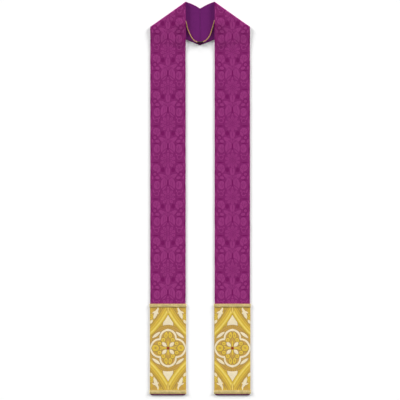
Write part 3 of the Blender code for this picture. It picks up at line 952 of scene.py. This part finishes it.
def brocade_material(settings):
    """Gold brocade: metal-wrapped thread, cream silk floats and brown outlines, in rows of raised weft."""
    material, tree, shader = new_material("gold and cream silk brocade")
    place = cloth_place(tree)
    mirrored = node_chain(
        tree, VECTOR_MATH, place,
        ("SUBTRACT", (0.0, PANEL_MIDDLE / MM + BROCADE_CENTRE, 0.0)),
        ("SNAP", (settings.thread / MM,) * 3),
        ("ABSOLUTE",),
    )
    under = (mirrored, settings.gold[:], THREAD_RISE["gold"])
    for row in brocade_chart():
        thread = row[-1]
        under = paint_figure(tree, under, row, getattr(settings, thread)[:], THREAD_RISE[thread])
    _, figure_colour, rise = under
    # Metal thread is about 0.3 mm; the rows of weft are drawn three times coarser, so that they can show.
    rows = thread_streaks(tree, place, 9.0, 0.9)
    glints = thread_streaks(tree, place, 2.2, 0.9, detail=0.0)
    cloudy = thread_streaks(tree, place, 16.0, 16.0)
    # Painted shade: where the brocade turns down over the band's edges, its colour is made darker, to half
    # its tone.
    from_middle = add_node(tree, "ShaderNodeSeparateXYZ", {0: mirrored}).outputs[0]
    half = BAND_WIDTH / MM / 2
    turned = {"Value": from_middle, "From Min": half - 0.5, "From Max": half + 1.5}
    painted_side_shade = add_node(tree, "ShaderNodeMapRange", turned).outputs[0]
    colour = shaded(
        tree, figure_colour,
        (rows, 0.82, 1.18), (cloudy, 0.93, 1.07), (glints, 0.9, 1.1), (painted_side_shade, 1.0, 0.5),
    )
    saturation = add_node(tree, "ShaderNodeSeparateColor", {0: figure_colour}, mode="HSV").outputs[1]
    metal = {"Value": saturation, "From Min": 0.35, "From Max": 0.6, "To Min": 0.0, "To Max": 0.1}
    tree.links.new(add_node(tree, "ShaderNodeMapRange", metal).outputs[0], shader.inputs["Metallic"])
    parts = add_node(tree, "ShaderNodeSeparateXYZ", {0: place}).outputs
    weft = node_chain(tree, MATH, parts[1], ("MULTIPLY", TURN / 0.9), ("SINE",), ("MULTIPLY", 0.03))
    height = node_chain(tree, MATH, rows, ("MULTIPLY_ADD", 0.1, weft))
    height = node_chain(tree, MATH, rise, ("MULTIPLY_ADD", 0.1, height))
    finish_material(tree, shader, colour, glints, (0.6, 0.8), height)
    shader.inputs["Specular IOR Level"].default_value = 0.05
    return material


def thread_material(name, colour, roughness, metallic, scale):
    """Thread seen close up: fine mottling makes it look spun, and its tone changes from place to place."""
    material, tree, shader = new_material(name)
    place = add_node(tree, "ShaderNodeTexCoord").outputs["Object"]
    noise = {"Vector": place, "Scale": 1 / scale, "Detail": 3.0}
    fibres = add_node(tree, "ShaderNodeTexNoise", noise).outputs[0]
    patches = {"Vector": place, "Scale": 1 / (9 * MM), "Detail": 2.0}
    worn = add_node(tree, "ShaderNodeTexNoise", patches).outputs[0]
    tone = shaded(tree, colour[:3], (fibres, 0.72, 1.28), (worn, 0.7, 1.3))
    finish_material(tree, shader, tone, fibres, (roughness - 0.1, roughness + 0.1), fibres, 0.15 * MM)
    shader.inputs["Metallic"].default_value = metallic
    shader.inputs["Specular IOR Level"].default_value = 0.05
    return material


def cord_material(settings):
    """Gold rayon cord, twisted from strands. Threads run along each strand, and the grooves are darkened with
    painted shade.
    """
    material, tree, shader = new_material("twisted gold rayon cord")
    place = add_node(tree, "ShaderNodeUVMap", uv_map=STRAND_MAP).outputs[0]
    parts = add_node(tree, "ShaderNodeSeparateXYZ", {0: place}).outputs
    lobe = math.pi * settings.strands
    lobes = node_chain(tree, MATH, parts[0], ("MULTIPLY", lobe), ("COSINE",), ("ABSOLUTE",))
    threads = node_chain(tree, MATH, parts[0], ("MULTIPLY", TURN * settings.strands * 4), ("SINE",))
    # The streaks are 40 to a turn, and about 6 mm long.
    around = node_chain(tree, MATH, parts[0], ("MULTIPLY", 40.0))
    run = node_chain(tree, MATH, parts[1], ("MULTIPLY", 1 / (6 * MM)))
    streak_place = add_node(tree, "ShaderNodeCombineXYZ", {0: around, 1: run}).outputs[0]
    noise = {"Vector": streak_place, "Scale": 1.0, "Detail": 2.0}
    streaks = add_node(tree, "ShaderNodeTexNoise", noise, noise_dimensions="2D").outputs[0]
    # Painted shade: the colour falls to half its tone down in the grooves between the strands, with a slight
    # painted highlight on their crowns.
    colour = shaded(tree, settings.gold[:3], (lobes, 0.5, 1.08), (streaks, 0.8, 1.2))
    height = node_chain(tree, MATH, threads, ("MULTIPLY", 0.05))
    height = node_chain(tree, MATH, streaks, ("MULTIPLY_ADD", 0.08, height))
    finish_material(tree, shader, colour, streaks, (0.35, 0.55), height)
    shader.inputs["Metallic"].default_value = 0.1
    return material


def floor_material(settings):
    """Matt white paper, a little uneven in tone."""
    material, tree, shader = new_material("matt white paper")
    place = add_node(tree, "ShaderNodeTexCoord").outputs["Object"]
    grain = add_node(tree, "ShaderNodeTexNoise", {"Vector": place, "Scale": 3.0, "Detail": 2.0}).outputs[0]
    tree.links.new(shaded(tree, settings.floor[:3], (grain, 0.997, 1.0)), shader.inputs["Base Color"])
    shader.inputs["Roughness"].default_value = 0.9
    shader.inputs["Specular IOR Level"].default_value = 0.0
    return material


# --------------------------------------------------------------------------------------------------
# Geometry Nodes for what repeats or follows a path


def path_tree(name, inputs):
    """A new Geometry Nodes tree with these inputs after its path, their sockets, and the path as a curve."""
    tree = bpy.data.node_groups.new(name, "GeometryNodeTree")
    geometry = ("Geometry", "Geometry")
    add_sockets(tree, "INPUT", (geometry, *inputs))
    add_sockets(tree, "OUTPUT", (geometry,))
    given = add_node(tree, "NodeGroupInput").outputs
    return tree, given, add_node(tree, "GeometryNodeMeshToCurve", {0: given["Geometry"]}).outputs[0]


def finish_tree(tree, geometry, material):
    """Ends a tree: instances made real, shaded smooth and given their material."""
    real = add_node(tree, "GeometryNodeRealizeInstances", {0: geometry}).outputs[0]
    smooth = add_node(tree, "GeometryNodeSetShadeSmooth", {0: real}).outputs[0]
    dressed = add_node(tree, "GeometryNodeSetMaterial", {0: smooth, "Material": material}).outputs[0]
    add_node(tree, "NodeGroupOutput", {0: dressed})


def made_by_tree(name, paths, ups, tree, values):
    """The plain mesh that a tree makes along paths, each a list of points with their outward directions."""
    verts = np.concatenate(paths)
    edges, start = [], 0
    for points in paths:
        edges += [(start + i, start + i + 1) for i in range(len(points) - 1)]
        start += len(points)
    mesh = bpy.data.meshes.new(name)
    mesh.from_pydata(verts.tolist(), edges, [])
    mesh.attributes.new(UP, "FLOAT_VECTOR", "POINT").data.foreach_set("vector", np.concatenate(ups).ravel())
    source = add_object(f"{name}.path", mesh)
    modifier = source.modifiers.new(tree.name, "NODES")
    modifier.node_group = tree
    for item in tree.interface.items_tree:
        if item.in_out == "INPUT" and item.name in values:
            modifier[item.identifier] = values[item.name]
    depsgraph = bpy.context.evaluated_depsgraph_get()
    made = bpy.data.meshes.new_from_object(
        source.evaluated_get(depsgraph), preserve_all_data_layers=True, depsgraph=depsgraph
    )
    source.modifiers.remove(modifier)
    bpy.data.objects.remove(source)
    if not made.polygons:
        raise RuntimeError(f"{tree.name} made nothing for {name}")
    made.name = name
    return add_object(name, made)


def facing(tree, tangent, up, slant):
    """A rotation whose X runs along the path and whose Z points outwards, turned about that Z by a slant."""
    align = "FunctionNodeAlignRotationToVector"
    run = add_node(tree, align, {"Vector": tangent}, axis="X").outputs[0]
    upright = add_node(tree, align, {"Rotation": run, "Vector": up}, axis="Z", pivot_axis="X").outputs[0]
    turned = {0: upright, 1: add_node(tree, "ShaderNodeCombineXYZ", {2: slant}).outputs[0]}
    return add_node(tree, "FunctionNodeRotateRotation", turned, rotation_space="LOCAL").outputs[0]


def twisted_path(tree, curve, step, tilt):
    """A curve with points this far apart, and tilted by this angle at each."""
    spaced = {"Curve": curve, "Length": step}
    fine = add_node(tree, "GeometryNodeResampleCurve", spaced, mode="LENGTH").outputs[0]
    return add_node(tree, "GeometryNodeSetCurveTilt", {"Curve": fine, "Tilt": tilt}).outputs[0]


def lobed_ring(tree, points, lobes, groove):
    """A profile 1 m in radius with this many lobes, and grooves this deep between them as a share of that."""
    size = {"Resolution": points, "Radius": 1.0}
    ring = add_node(tree, "GeometryNodeCurvePrimitiveCircle", size).outputs[0]
    place = add_node(tree, "GeometryNodeInputPosition").outputs[0]
    parts = add_node(tree, "ShaderNodeSeparateXYZ", {0: place}).outputs
    angle = node_chain(tree, MATH, parts[1], ("ARCTAN2", parts[0]))
    half = node_chain(tree, MATH, lobes, ("MULTIPLY", 0.5))
    waves = (("MULTIPLY", half), ("COSINE",), ("ABSOLUTE",), ("MULTIPLY_ADD", groove, 1.0 - groove))
    swell = node_chain(tree, MATH, angle, *waves)
    moved = add_node(tree, VECTOR_MATH, {0: place, "Scale": swell}, operation="SCALE").outputs[0]
    return add_node(tree, "GeometryNodeSetPosition", {0: ring, "Position": moved}).outputs[0]


def sized_ring(tree, ring, diameter):
    """A profile 1 m in radius, brought to this diameter."""
    half = node_chain(tree, MATH, diameter, ("MULTIPLY", 0.5))
    scale = add_node(tree, "ShaderNodeCombineXYZ", dict.fromkeys(range(3), half)).outputs[0]
    return add_node(tree, "GeometryNodeTransform", {0: ring, "Scale": scale}).outputs[0]


def stitch_tree():
    """A row of stitches: rounded bars, a spacing apart along a path, each a little out of line."""
    inputs = (
        ("Spacing", "Float"), ("Length", "Float"), ("Thread", "Float"), ("Slant", "Float"),
        ("Material", "Material"),
    )
    tree, given, curve = path_tree("stitch row", inputs)
    spaced = {"Curve": curve, "Length": given["Spacing"]}
    row = add_node(tree, "GeometryNodeResampleCurve", spaced, mode="LENGTH").outputs[0]
    tangent = add_node(tree, "GeometryNodeInputTangent").outputs[0]
    outward = add_node(tree, "GeometryNodeInputNamedAttribute", {"Name": UP}, data_type="FLOAT_VECTOR")
    bar = add_node(tree, "GeometryNodeMeshUVSphere", {"Segments": 6, "Rings": 5, "Radius": 0.5}).outputs[0]
    sides = {0: given["Length"], 1: given["Thread"], 2: given["Thread"]}
    size = add_node(tree, "ShaderNodeCombineXYZ", sides).outputs[0]
    reach = {2: -STITCH_STRAY, 3: STITCH_STRAY, "Seed": 7}
    stray = add_node(tree, "FunctionNodeRandomValue", reach, data_type="FLOAT").outputs[1]
    slant = node_chain(tree, MATH, given["Slant"], ("ADD", stray))
    turn = facing(tree, tangent, outward.outputs[0], slant)
    placed = {"Points": row, "Instance": bar, "Rotation": turn, "Scale": size}
    stitches = add_node(tree, "GeometryNodeInstanceOnPoints", placed).outputs[0]
    finish_tree(tree, stitches, given["Material"])
    return tree


def braid_ribs(tree, given, curve):
    """Lanes of slanting ribs that meet in chevrons, between the edge cords."""
    inside = node_chain(tree, MATH, given["Edge Diameter"], ("MULTIPLY_ADD", -2.0, given["Width"]))
    lane = node_chain(tree, MATH, inside, ("DIVIDE", given["Lanes"]))
    spaced = {"Curve": curve, "Length": given["Rib Step"]}
    row = add_node(tree, "GeometryNodeCurveToPoints", spaced, mode="LENGTH")
    copies = {0: row.outputs["Points"], "Amount": given["Lanes"]}
    lanes = add_node(tree, "GeometryNodeDuplicateElements", copies, domain="POINT")
    number = lanes.outputs["Duplicate Index"]
    middle = node_chain(tree, MATH, given["Lanes"], ("MULTIPLY_ADD", 0.5, -0.5))
    sideways = node_chain(tree, MATH, number, ("SUBTRACT", middle), ("MULTIPLY", lane))
    offset = add_node(tree, "ShaderNodeCombineXYZ", {1: sideways}).outputs[0]
    placed = add_node(tree, "GeometryNodeSetPosition", {0: lanes.outputs[0], "Offset": offset}).outputs[0]
    odd = node_chain(tree, MATH, number, ("MODULO", 2.0), ("MULTIPLY_ADD", 2.0, -1.0))
    slant = node_chain(tree, MATH, odd, ("MULTIPLY", RIB_SLANT))
    tangent = row.outputs["Tangent"]
    up = node_chain(tree, VECTOR_MATH, tangent, ("CROSS_PRODUCT", (0.0, 1.0, 0.0)))
    long = node_chain(tree, MATH, lane, ("MULTIPLY", RIB_OVERLAP))
    sides = {0: long, 1: given["Rib Thickness"], 2: given["Rib Thickness"]}
    size = add_node(tree, "ShaderNodeCombineXYZ", sides).outputs[0]
    rib = add_node(tree, "GeometryNodeMeshUVSphere", {"Segments": 8, "Rings": 6, "Radius": 0.5}).outputs[0]
    turned = {"Points": placed, "Instance": rib, "Rotation": facing(tree, tangent, up, slant), "Scale": size}
    return add_node(tree, "GeometryNodeInstanceOnPoints", turned).outputs[0]


def braid_tape(tree, given, curve):
    """The flat tape under the ribs."""
    thick = node_chain(tree, MATH, given["Rib Thickness"], ("MULTIPLY", TAPE_SHARE))
    wide = node_chain(tree, MATH, given["Edge Diameter"], ("MULTIPLY_ADD", -1.0, given["Width"]))
    sides = {"Width": thick, "Height": wide}
    flat = add_node(tree, "GeometryNodeCurvePrimitiveQuadrilateral", sides).outputs[0]
    tape = {"Curve": curve, "Profile Curve": flat, "Fill Caps": True}
    return add_node(tree, "GeometryNodeCurveToMesh", tape).outputs[0]


def braid_edges(tree, given, curve):
    """A cord of two twisted strands along each side of the tape."""
    run = add_node(tree, "GeometryNodeSplineParameter").outputs["Length"]
    tilt = node_chain(tree, MATH, run, ("MULTIPLY", TURN / EDGE_LAY))
    ring = sized_ring(tree, lobed_ring(tree, 12, 2.0, EDGE_GROOVE), given["Edge Diameter"])
    cord = {"Curve": twisted_path(tree, curve, 0.45 * MM, tilt), "Profile Curve": ring, "Fill Caps": True}
    edge = add_node(tree, "GeometryNodeCurveToMesh", cord).outputs[0]
    reach = node_chain(tree, MATH, given["Width"], ("SUBTRACT", given["Edge Diameter"]), ("MULTIPLY", 0.5))
    moved = []
    for sign in (-1.0, 1.0):
        sideways = node_chain(tree, MATH, reach, ("MULTIPLY", sign))
        offset = add_node(tree, "ShaderNodeCombineXYZ", {1: sideways}).outputs[0]
        moved.append(add_node(tree, "GeometryNodeTransform", {0: edge, "Translation": offset}).outputs[0])
    return add_node(tree, "GeometryNodeJoinGeometry", {0: moved}).outputs[0]


def braid_tree():
    """A galloon: slanting ribs that meet in chevrons on a flat tape, between two twisted edge cords."""
    inputs = (
        ("Width", "Float"), ("Lanes", "Int"), ("Rib Step", "Float"), ("Rib Thickness", "Float"),
        ("Edge Diameter", "Float"), ("Ribs", "Material"), ("Edges", "Material"),
    )
    tree, given, curve = path_tree("galloon braid", inputs)
    woven = [braid_ribs(tree, given, curve), braid_tape(tree, given, curve)]
    dressed = []
    for parts, material in ((woven, "Ribs"), ([braid_edges(tree, given, curve)], "Edges")):
        whole = add_node(tree, "GeometryNodeJoinGeometry", {0: parts}).outputs[0]
        real = add_node(tree, "GeometryNodeRealizeInstances", {0: whole}).outputs[0]
        clothed = add_node(tree, "GeometryNodeSetMaterial", {0: real, "Material": given[material]})
        dressed.append(clothed.outputs[0])
    braid = add_node(tree, "GeometryNodeJoinGeometry", {0: dressed}).outputs[0]
    smooth = add_node(tree, "GeometryNodeSetShadeSmooth", {0: braid}).outputs[0]
    add_node(tree, "NodeGroupOutput", {0: smooth})
    return tree


def cord_tree():
    """A cord of twisted strands along a path, with a map of places round and along it."""
    inputs = (("Diameter", "Float"), ("Lay", "Float"), ("Strands", "Int"), ("Material", "Material"))
    tree, given, curve = path_tree("twisted cord", inputs)
    length = add_node(tree, "GeometryNodeSplineParameter").outputs["Length"]
    share = add_node(tree, "GeometryNodeSplineParameter").outputs["Factor"]
    tilt = node_chain(tree, MATH, length, ("DIVIDE", given["Lay"]), ("MULTIPLY", TURN))
    twisted = twisted_path(tree, curve, 0.7 * MM, tilt)
    ring = lobed_ring(tree, 30, given["Strands"], CORD_GROOVE)
    # Where each point is along the path and round the ring is kept until there is a surface to map.
    kept = []
    for part, value in ((twisted, length), (ring, share)):
        capture = add_node(tree, "GeometryNodeCaptureAttribute", {0: part})
        capture.capture_items.new("FLOAT", "Share")
        tree.links.new(value, capture.inputs["Share"])
        kept.append(capture.outputs)
    along, around = kept
    ring = sized_ring(tree, around[0], given["Diameter"])
    cord = {"Curve": along[0], "Profile Curve": ring, "Fill Caps": True}
    tube = add_node(tree, "GeometryNodeCurveToMesh", cord).outputs[0]
    place = add_node(tree, "ShaderNodeCombineXYZ", {0: around["Share"], 1: along["Share"]}).outputs[0]
    store = {0: tube, "Name": STRAND_MAP, "Value": place}
    mapped = add_node(
        tree, "GeometryNodeStoreNamedAttribute", store, data_type="FLOAT2", domain="CORNER"
    ).outputs[0]
    finish_tree(tree, mapped, given["Material"])
    return tree


def winding_tree():
    """Thread wound round a path in close turns."""
    inputs = (("Radius", "Float"), ("Thread", "Float"), ("Material", "Material"))
    tree, given, curve = path_tree("thread winding", inputs)
    pitch = node_chain(tree, MATH, given["Thread"], ("MULTIPLY", WINDING_PITCH))
    step = node_chain(tree, MATH, pitch, ("DIVIDE", WINDING_POINTS))
    spaced = {"Curve": curve, "Length": step}
    fine = add_node(tree, "GeometryNodeResampleCurve", spaced, mode="LENGTH").outputs[0]
    run = add_node(tree, "GeometryNodeSplineParameter").outputs["Length"]
    angle = node_chain(tree, MATH, run, ("DIVIDE", pitch), ("MULTIPLY", TURN))
    tangent = add_node(tree, "GeometryNodeInputTangent").outputs[0]
    sideways = node_chain(tree, VECTOR_MATH, tangent, ("CROSS_PRODUCT", (0.0, 0.0, 1.0)))
    up = node_chain(tree, VECTOR_MATH, sideways, ("CROSS_PRODUCT", tangent))
    parts = []
    for direction, operation in ((sideways, "COSINE"), (up, "SINE")):
        reach = node_chain(tree, MATH, angle, (operation,), ("MULTIPLY", given["Radius"]))
        scaled = {0: direction, "Scale": reach}
        parts.append(add_node(tree, VECTOR_MATH, scaled, operation="SCALE").outputs[0])
    offset = node_chain(tree, VECTOR_MATH, parts[0], ("ADD", parts[1]))
    wound = add_node(tree, "GeometryNodeSetPosition", {0: fine, "Offset": offset}).outputs[0]
    half = node_chain(tree, MATH, given["Thread"], ("MULTIPLY", 0.5))
    ring = add_node(tree, "GeometryNodeCurvePrimitiveCircle", {"Resolution": 7, "Radius": half}).outputs[0]
    thread = {"Curve": wound, "Profile Curve": ring, "Fill Caps": True}
    finish_tree(tree, add_node(tree, "GeometryNodeCurveToMesh", thread).outputs[0], given["Material"])
    return tree


def cord_points():
    """Points along a smooth curve through the cord's route."""
    rest = CLOTH_THICK + SEAM_GAP + CORD_DIAMETER / 2
    route = [Vector((x, PEAK_Y - down, rest + lift)) for x, down, lift in CORD_ROUTE]
    padded = [route[0], *route, route[-1]]
    dense = []
    for before, start, end, after in zip(padded, padded[1:], padded[2:], padded[3:]):
        dense += interpolate_bezier(start, start + (end - before) / 6, end - (after - start) / 6, end, 9)[:-1]
    return np.array([*dense, route[-1]])


def place_piece(piece, slot, *nodes):
    """Rides a finished piece on the body and stands it for its solids. The slot is not used."""
    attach(piece, "root")
    if nodes:
        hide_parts(*nodes)


# --------------------------------------------------------------------------------------------------
# Operators


class StoleStage(bpy.types.Operator):
    """Make the plain floor, the soft light and the camera that looks straight down"""

    bl_idname = "stole.stage"
    bl_label = "Stage"

    def execute(self, context):
        settings = context.scene.stole.stage
        self.add_floor(settings)
        self.add_lights(context.scene, settings)
        self.add_camera(context.scene, settings)
        return {"FINISHED"}

    def add_floor(self, settings):
        corners = [(x * FLOOR_REACH, y * FLOOR_REACH, 0.0) for x, y in ((-1, -1), (1, -1), (1, 1), (-1, 1))]
        mesh = bpy.data.meshes.new("floor")
        mesh.from_pydata(corners, [], [(0, 1, 2, 3)])
        add_object("floor", mesh, floor_material(settings))

    def add_lights(self, scene, settings):
        scene.view_settings.view_transform = "Standard"
        world = bpy.data.worlds.new("even sky")
        world.use_nodes = True
        sky = world.node_tree.nodes["Background"]
        sky.inputs["Color"].default_value = (1.0, 1.0, 1.0, 1.0)
        sky.inputs["Strength"].default_value = settings.sky
        scene.world = world
        low = math.tan(settings.light_height)
        across, along = SIDE_LIGHT_FROM
        lights = (
            ("top light", (0.0, 0.0, 1.0), settings.top_light),
            ("neck light", (0.0, 1.0, low), settings.neck_light),
            ("left light", (-across, along, low), settings.side_light),
            ("right light", (across, along, low), settings.side_light),
        )
        for name, direction, share in lights:
            towards = Vector(direction).normalized()
            light = bpy.data.lights.new(name, "SUN")
            light.angle = settings.light_spread
            light.energy = share * math.pi / towards.z
            lamp = bpy.data.objects.new(name, light)
            lamp.rotation_euler = towards.to_track_quat("Z", "Y").to_euler()
            lamp.location = towards * 2
            # The low lights show the cloth's relief. Mirrored in the silk, they would bleach it seen low.
            lamp.visible_glossy = towards.z > 0.5
            scene.collection.objects.link(lamp)

    def add_camera(self, scene, settings):
        camera = bpy.data.cameras.new("camera")
        camera.sensor_width = 36.0
        camera.lens = camera.sensor_width * settings.camera_height / settings.view_width
        camera.clip_end = 50.0
        holder = bpy.data.objects.new("camera", camera)
        holder.location = (CAMERA_X, (HEM_Y + PEAK_Y) / 2 - settings.view_drop, settings.camera_height)
        scene.collection.objects.link(holder)
        scene.camera = holder


class StoleCord(bpy.types.Operator):
    """Make the twisted neck cord and the thread bound round its middle"""

    bl_idname = "stole.cord"
    bl_label = "Neck Cord"

    def execute(self, context):
        settings = context.scene.stole.cord
        points = cord_points()
        up = np.tile((0.0, 0.0, 1.0), (len(points), 1))
        values = {
            "Diameter": CORD_DIAMETER, "Lay": settings.lay, "Strands": settings.strands,
            "Material": cord_material(settings),
        }
        cord = made_by_tree("twisted_neck_cord", [points], [up], cord_tree(), values)
        middle = points[np.abs(points[:, 0]) < BINDING_REACH]
        values = {
            "Radius": CORD_DIAMETER / 2 + settings.thread * 0.42, "Thread": settings.thread,
            "Material": thread_material("wound olive thread", settings.olive, 0.75, 0.0, 0.4 * MM),
        }
        binding = made_by_tree("wound_cord_binding", [middle], [up[: len(middle)]], winding_tree(), values)
        place_piece(cord, "cord", "neck_cord")
        place_piece(binding, "binding", "cord_binding")
        return {"FINISHED"}


class StoleDamask(bpy.types.Operator):
    """Make the damask face of each half, from the hem over the shoulder to the centre back"""

    bl_idname = "stole.damask"
    bl_label = "Damask Faces"

    def execute(self, context):
        settings = context.scene.stole.damask
        material = damask_material(settings)
        middle = (settings.underside + CLOTH_THICK) / 2
        half = (CLOTH_THICK - settings.underside) / 2
        for hand, side in SIDES:
            grid = strip_grid(side, 0.0, settings.row_step)
            full = rounded(grid["rim"], half)
            allowance = settings.seam_allowance
            hollow = settings.hollow * ease(grid["rim"], allowance - 2 * MM, allowance + 1.5 * MM)
            over = layer_points(grid, side, middle + half * full - hollow)
            under = layer_points(grid, side, middle - half * full)
            piece = closed_shell(f"damask_{hand}", over, under, grid["flat"], side, material, grid["rim"])
            place_piece(piece, "damask", f"face_{hand}", f"face_back_{hand}")
        return {"FINISHED"}


class StoleLining(bpy.types.Operator):
    """Make the lining of each half, which shows across the back of the neck"""

    bl_idname = "stole.lining"
    bl_label = "Linings"

    def execute(self, context):
        settings = context.scene.stole.lining
        material = lining_material(settings)
        row_step = context.scene.stole.damask.row_step
        half = settings.thickness / 2
        for hand, side in SIDES:
            grid = strip_grid(side, settings.inset, row_step)
            full = rounded(grid["rim"], half * 1.4)
            over = layer_points(grid, side, half + half * full)
            under = layer_points(grid, side, half - half * full)
            name = f"lining_cloth_{hand}"
            piece = closed_shell(name, over, under, grid["flat"], side, material, grid["rim"])
            place_piece(piece, "lining", f"lining_{hand}", f"lining_back_{hand}")
        return {"FINISHED"}


class StoleBrocade(bpy.types.Operator):
    """Make the gold brocade panel at each end, turned down over the band's edges"""

    bl_idname = "stole.brocade"
    bl_label = "Brocade Ends"

    def execute(self, context):
        settings = context.scene.stole.brocade
        material = brocade_material(settings)
        half = (PANEL_HIGH.x - PANEL_LOW.x) / 2 - settings.relief / 2
        top = PANEL_HIGH.z - settings.relief / 2 - SETTLED
        place, outward, run = turned_section(half, top, PANEL_TURN, PANEL_FOOT, settings.grid)
        count = round((PANEL_HIGH.y - PANEL_LOW.y) / settings.grid)
        along = np.linspace(PANEL_LOW.y, PANEL_HIGH.y, count + 1)
        across_grid, along_grid = np.meshgrid(run, along)
        rise = brocade_rise(across_grid / MM, (along_grid - PANEL_MIDDLE) / MM - BROCADE_CENTRE)
        # Slow, slight waves in the laid cloth, which its underside follows less.
        soft = 0.12 * MM * np.sin(along_grid / (31 * MM)) * np.sin(across_grid / (19 * MM) + 0.7)
        flat = np.stack([across_grid, along_grid], axis=-1)
        for hand, side in SIDES:
            layers = []
            for lift in (settings.relief * (rise - 0.5) + soft, soft * 0.3 - settings.thickness):
                x = place[:, 0] + outward[:, 0] * lift + side * CENTRE_X
                z = np.maximum(place[:, 1] + outward[:, 1] * lift, PANEL_CLEAR)
                layers.append(np.stack([x, along_grid, z], axis=-1))
            piece = closed_shell(f"brocade_panel_{hand}", *layers, flat, 1, material)
            place_piece(piece, "brocade", f"end_panel_{hand}")
        return {"FINISHED"}


class StoleBraid(bpy.types.Operator):
    """Make the woven braid along the top and the bottom of each brocade panel"""

    bl_idname = "stole.braid"
    bl_label = "Braids"

    def execute(self, context):
        settings = context.scene.stole.braid
        ribs = thread_material("pale gold galloon ribs", settings.ribs, 0.6, 0.08, 0.5 * MM)
        edges = thread_material("gold galloon edge cord", settings.edges, 0.6, 0.08, 0.5 * MM)
        tree = braid_tree()
        for level in ("upper", "lower"):
            for hand, _ in SIDES:
                node = f"braid_{level}_{hand}"
                low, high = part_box(node)
                middle_x, middle_y = (low.x + high.x) / 2, (low.y + high.y) / 2
                half = (high.x - low.x) / 2 - 0.5 * MM
                top = high.z - BRAID_SUNK - SETTLED
                place, outward, _ = turned_section(half, top, BRAID_TURN, BRAID_FOOT, BRAID_STEP)
                points, ups = across_end(place, outward, middle_x, middle_y)
                values = {
                    "Width": high.y - low.y, "Lanes": settings.lanes, "Rib Step": settings.rib_step,
                    "Rib Thickness": settings.rib_thickness, "Edge Diameter": settings.edge_diameter,
                    "Ribs": ribs, "Edges": edges,
                }
                piece = made_by_tree(f"galloon_{level}_{hand}", [points], [ups], tree, values)
                place_piece(piece, "braid", node)
        return {"FINISHED"}


class StoleStitches(bpy.types.Operator):
    """Sew the lining to the damask's turned edge, and the braid to the brocade"""

    bl_idname = "stole.stitches"
    bl_label = "Stitches"

    def execute(self, context):
        settings = context.scene.stole.stitches
        inset = context.scene.stole.lining.inset
        tree = stitch_tree()
        purple = thread_material("purple sewing thread", settings.purple, 0.6, 0.0, 0.3 * MM)
        pale = thread_material("pale gold sewing thread", settings.pale, 0.5, 0.0, 0.3 * MM)
        sizes = {"Spacing": settings.spacing, "Length": settings.length, "Thread": settings.thread}
        for hand, side in SIDES:
            paths, ups = self.edge_paths(side, inset)
            values = {**sizes, "Slant": math.radians(38 * side), "Material": purple}
            piece = made_by_tree(f"lining_stitches_{hand}", paths, ups, tree, values)
            place_piece(piece, "lining")
            paths, ups = self.braid_paths(hand)
            values = {**sizes, "Spacing": settings.spacing * 0.8, "Slant": 0.0, "Material": pale}
            piece = made_by_tree(f"braid_stitches_{hand}", paths, ups, tree, values)
            place_piece(piece, "braid")
        return {"FINISHED"}

    def edge_paths(self, side, inset):
        """Along both edges of the lining and across its hem, with the directions out of its bare side."""
        grid = strip_grid(side, inset, 6 * MM)
        bare = layer_points(grid, side, -STITCH_DEPTH)
        ups = (layer_points(grid, side, -STITCH_DEPTH - MM) - bare) / MM
        bare[..., 2] = np.maximum(bare[..., 2], STITCH_LOWEST)
        whole, hem, last = slice(8, -6), 1, bare.shape[1] - 1
        paths = [bare[whole, 1], bare[whole, last - 1], bare[hem, 2:-2]]
        return paths, [ups[whole, 1], ups[whole, last - 1], ups[hem, 2:-2]]

    def braid_paths(self, hand):
        """Just inside both edges of both braids on one end."""
        paths, ups = [], []
        for level in ("upper", "lower"):
            low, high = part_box(f"braid_{level}_{hand}")
            half = (high.x - low.x) / 2
            top = high.z - BRAID_STITCH_SUNK - SETTLED
            place, outward, _ = turned_section(half, top, BRAID_STITCH_TURN, BRAID_STITCH_FOOT, BRAID_STEP)
            for y in (low.y + BRAID_STITCH_INSET, high.y - BRAID_STITCH_INSET):
                path, up = across_end(place, outward, (low.x + high.x) / 2, y)
                paths.append(path)
                ups.append(up)
        return paths, ups


OPERATORS = (StoleStage, StoleCord, StoleDamask, StoleLining, StoleBrocade, StoleBraid, StoleStitches)


class StolePanel(bpy.types.Panel):
    """The stole's operators and their sizes"""

    bl_idname = "VIEW3D_PT_stole"
    bl_label = "Clerical Stole"
    bl_space_type = "VIEW_3D"
    bl_region_type = "UI"
    bl_category = "Stole"

    def draw(self, context):
        for operator in OPERATORS:
            self.layout.operator(operator.bl_idname)
        settings = context.scene.stole
        for name, label, group in SETTING_GROUPS:
            box = self.layout.box()
            box.label(text=label)
            for key in group.__annotations__:
                box.prop(getattr(settings, name), key)


CLASSES = (*(group for _, _, group in SETTING_GROUPS), StoleSettings, *OPERATORS, StolePanel)


def register():
    for cls in CLASSES:
        bpy.utils.register_class(cls)
    bpy.types.Scene.stole = PointerProperty(type=StoleSettings)


def unregister():
    del bpy.types.Scene.stole
    for cls in reversed(CLASSES):
        bpy.utils.unregister_class(cls)


def main():
    """Makes the stage and every piece."""
    register()
    bpy.ops.stole.stage()
    bpy.ops.stole.cord()
    bpy.ops.stole.lining()
    bpy.ops.stole.damask()
    bpy.ops.stole.brocade()
    bpy.ops.stole.braid()
    bpy.ops.stole.stitches()


if __name__ == "__main__":
    main()
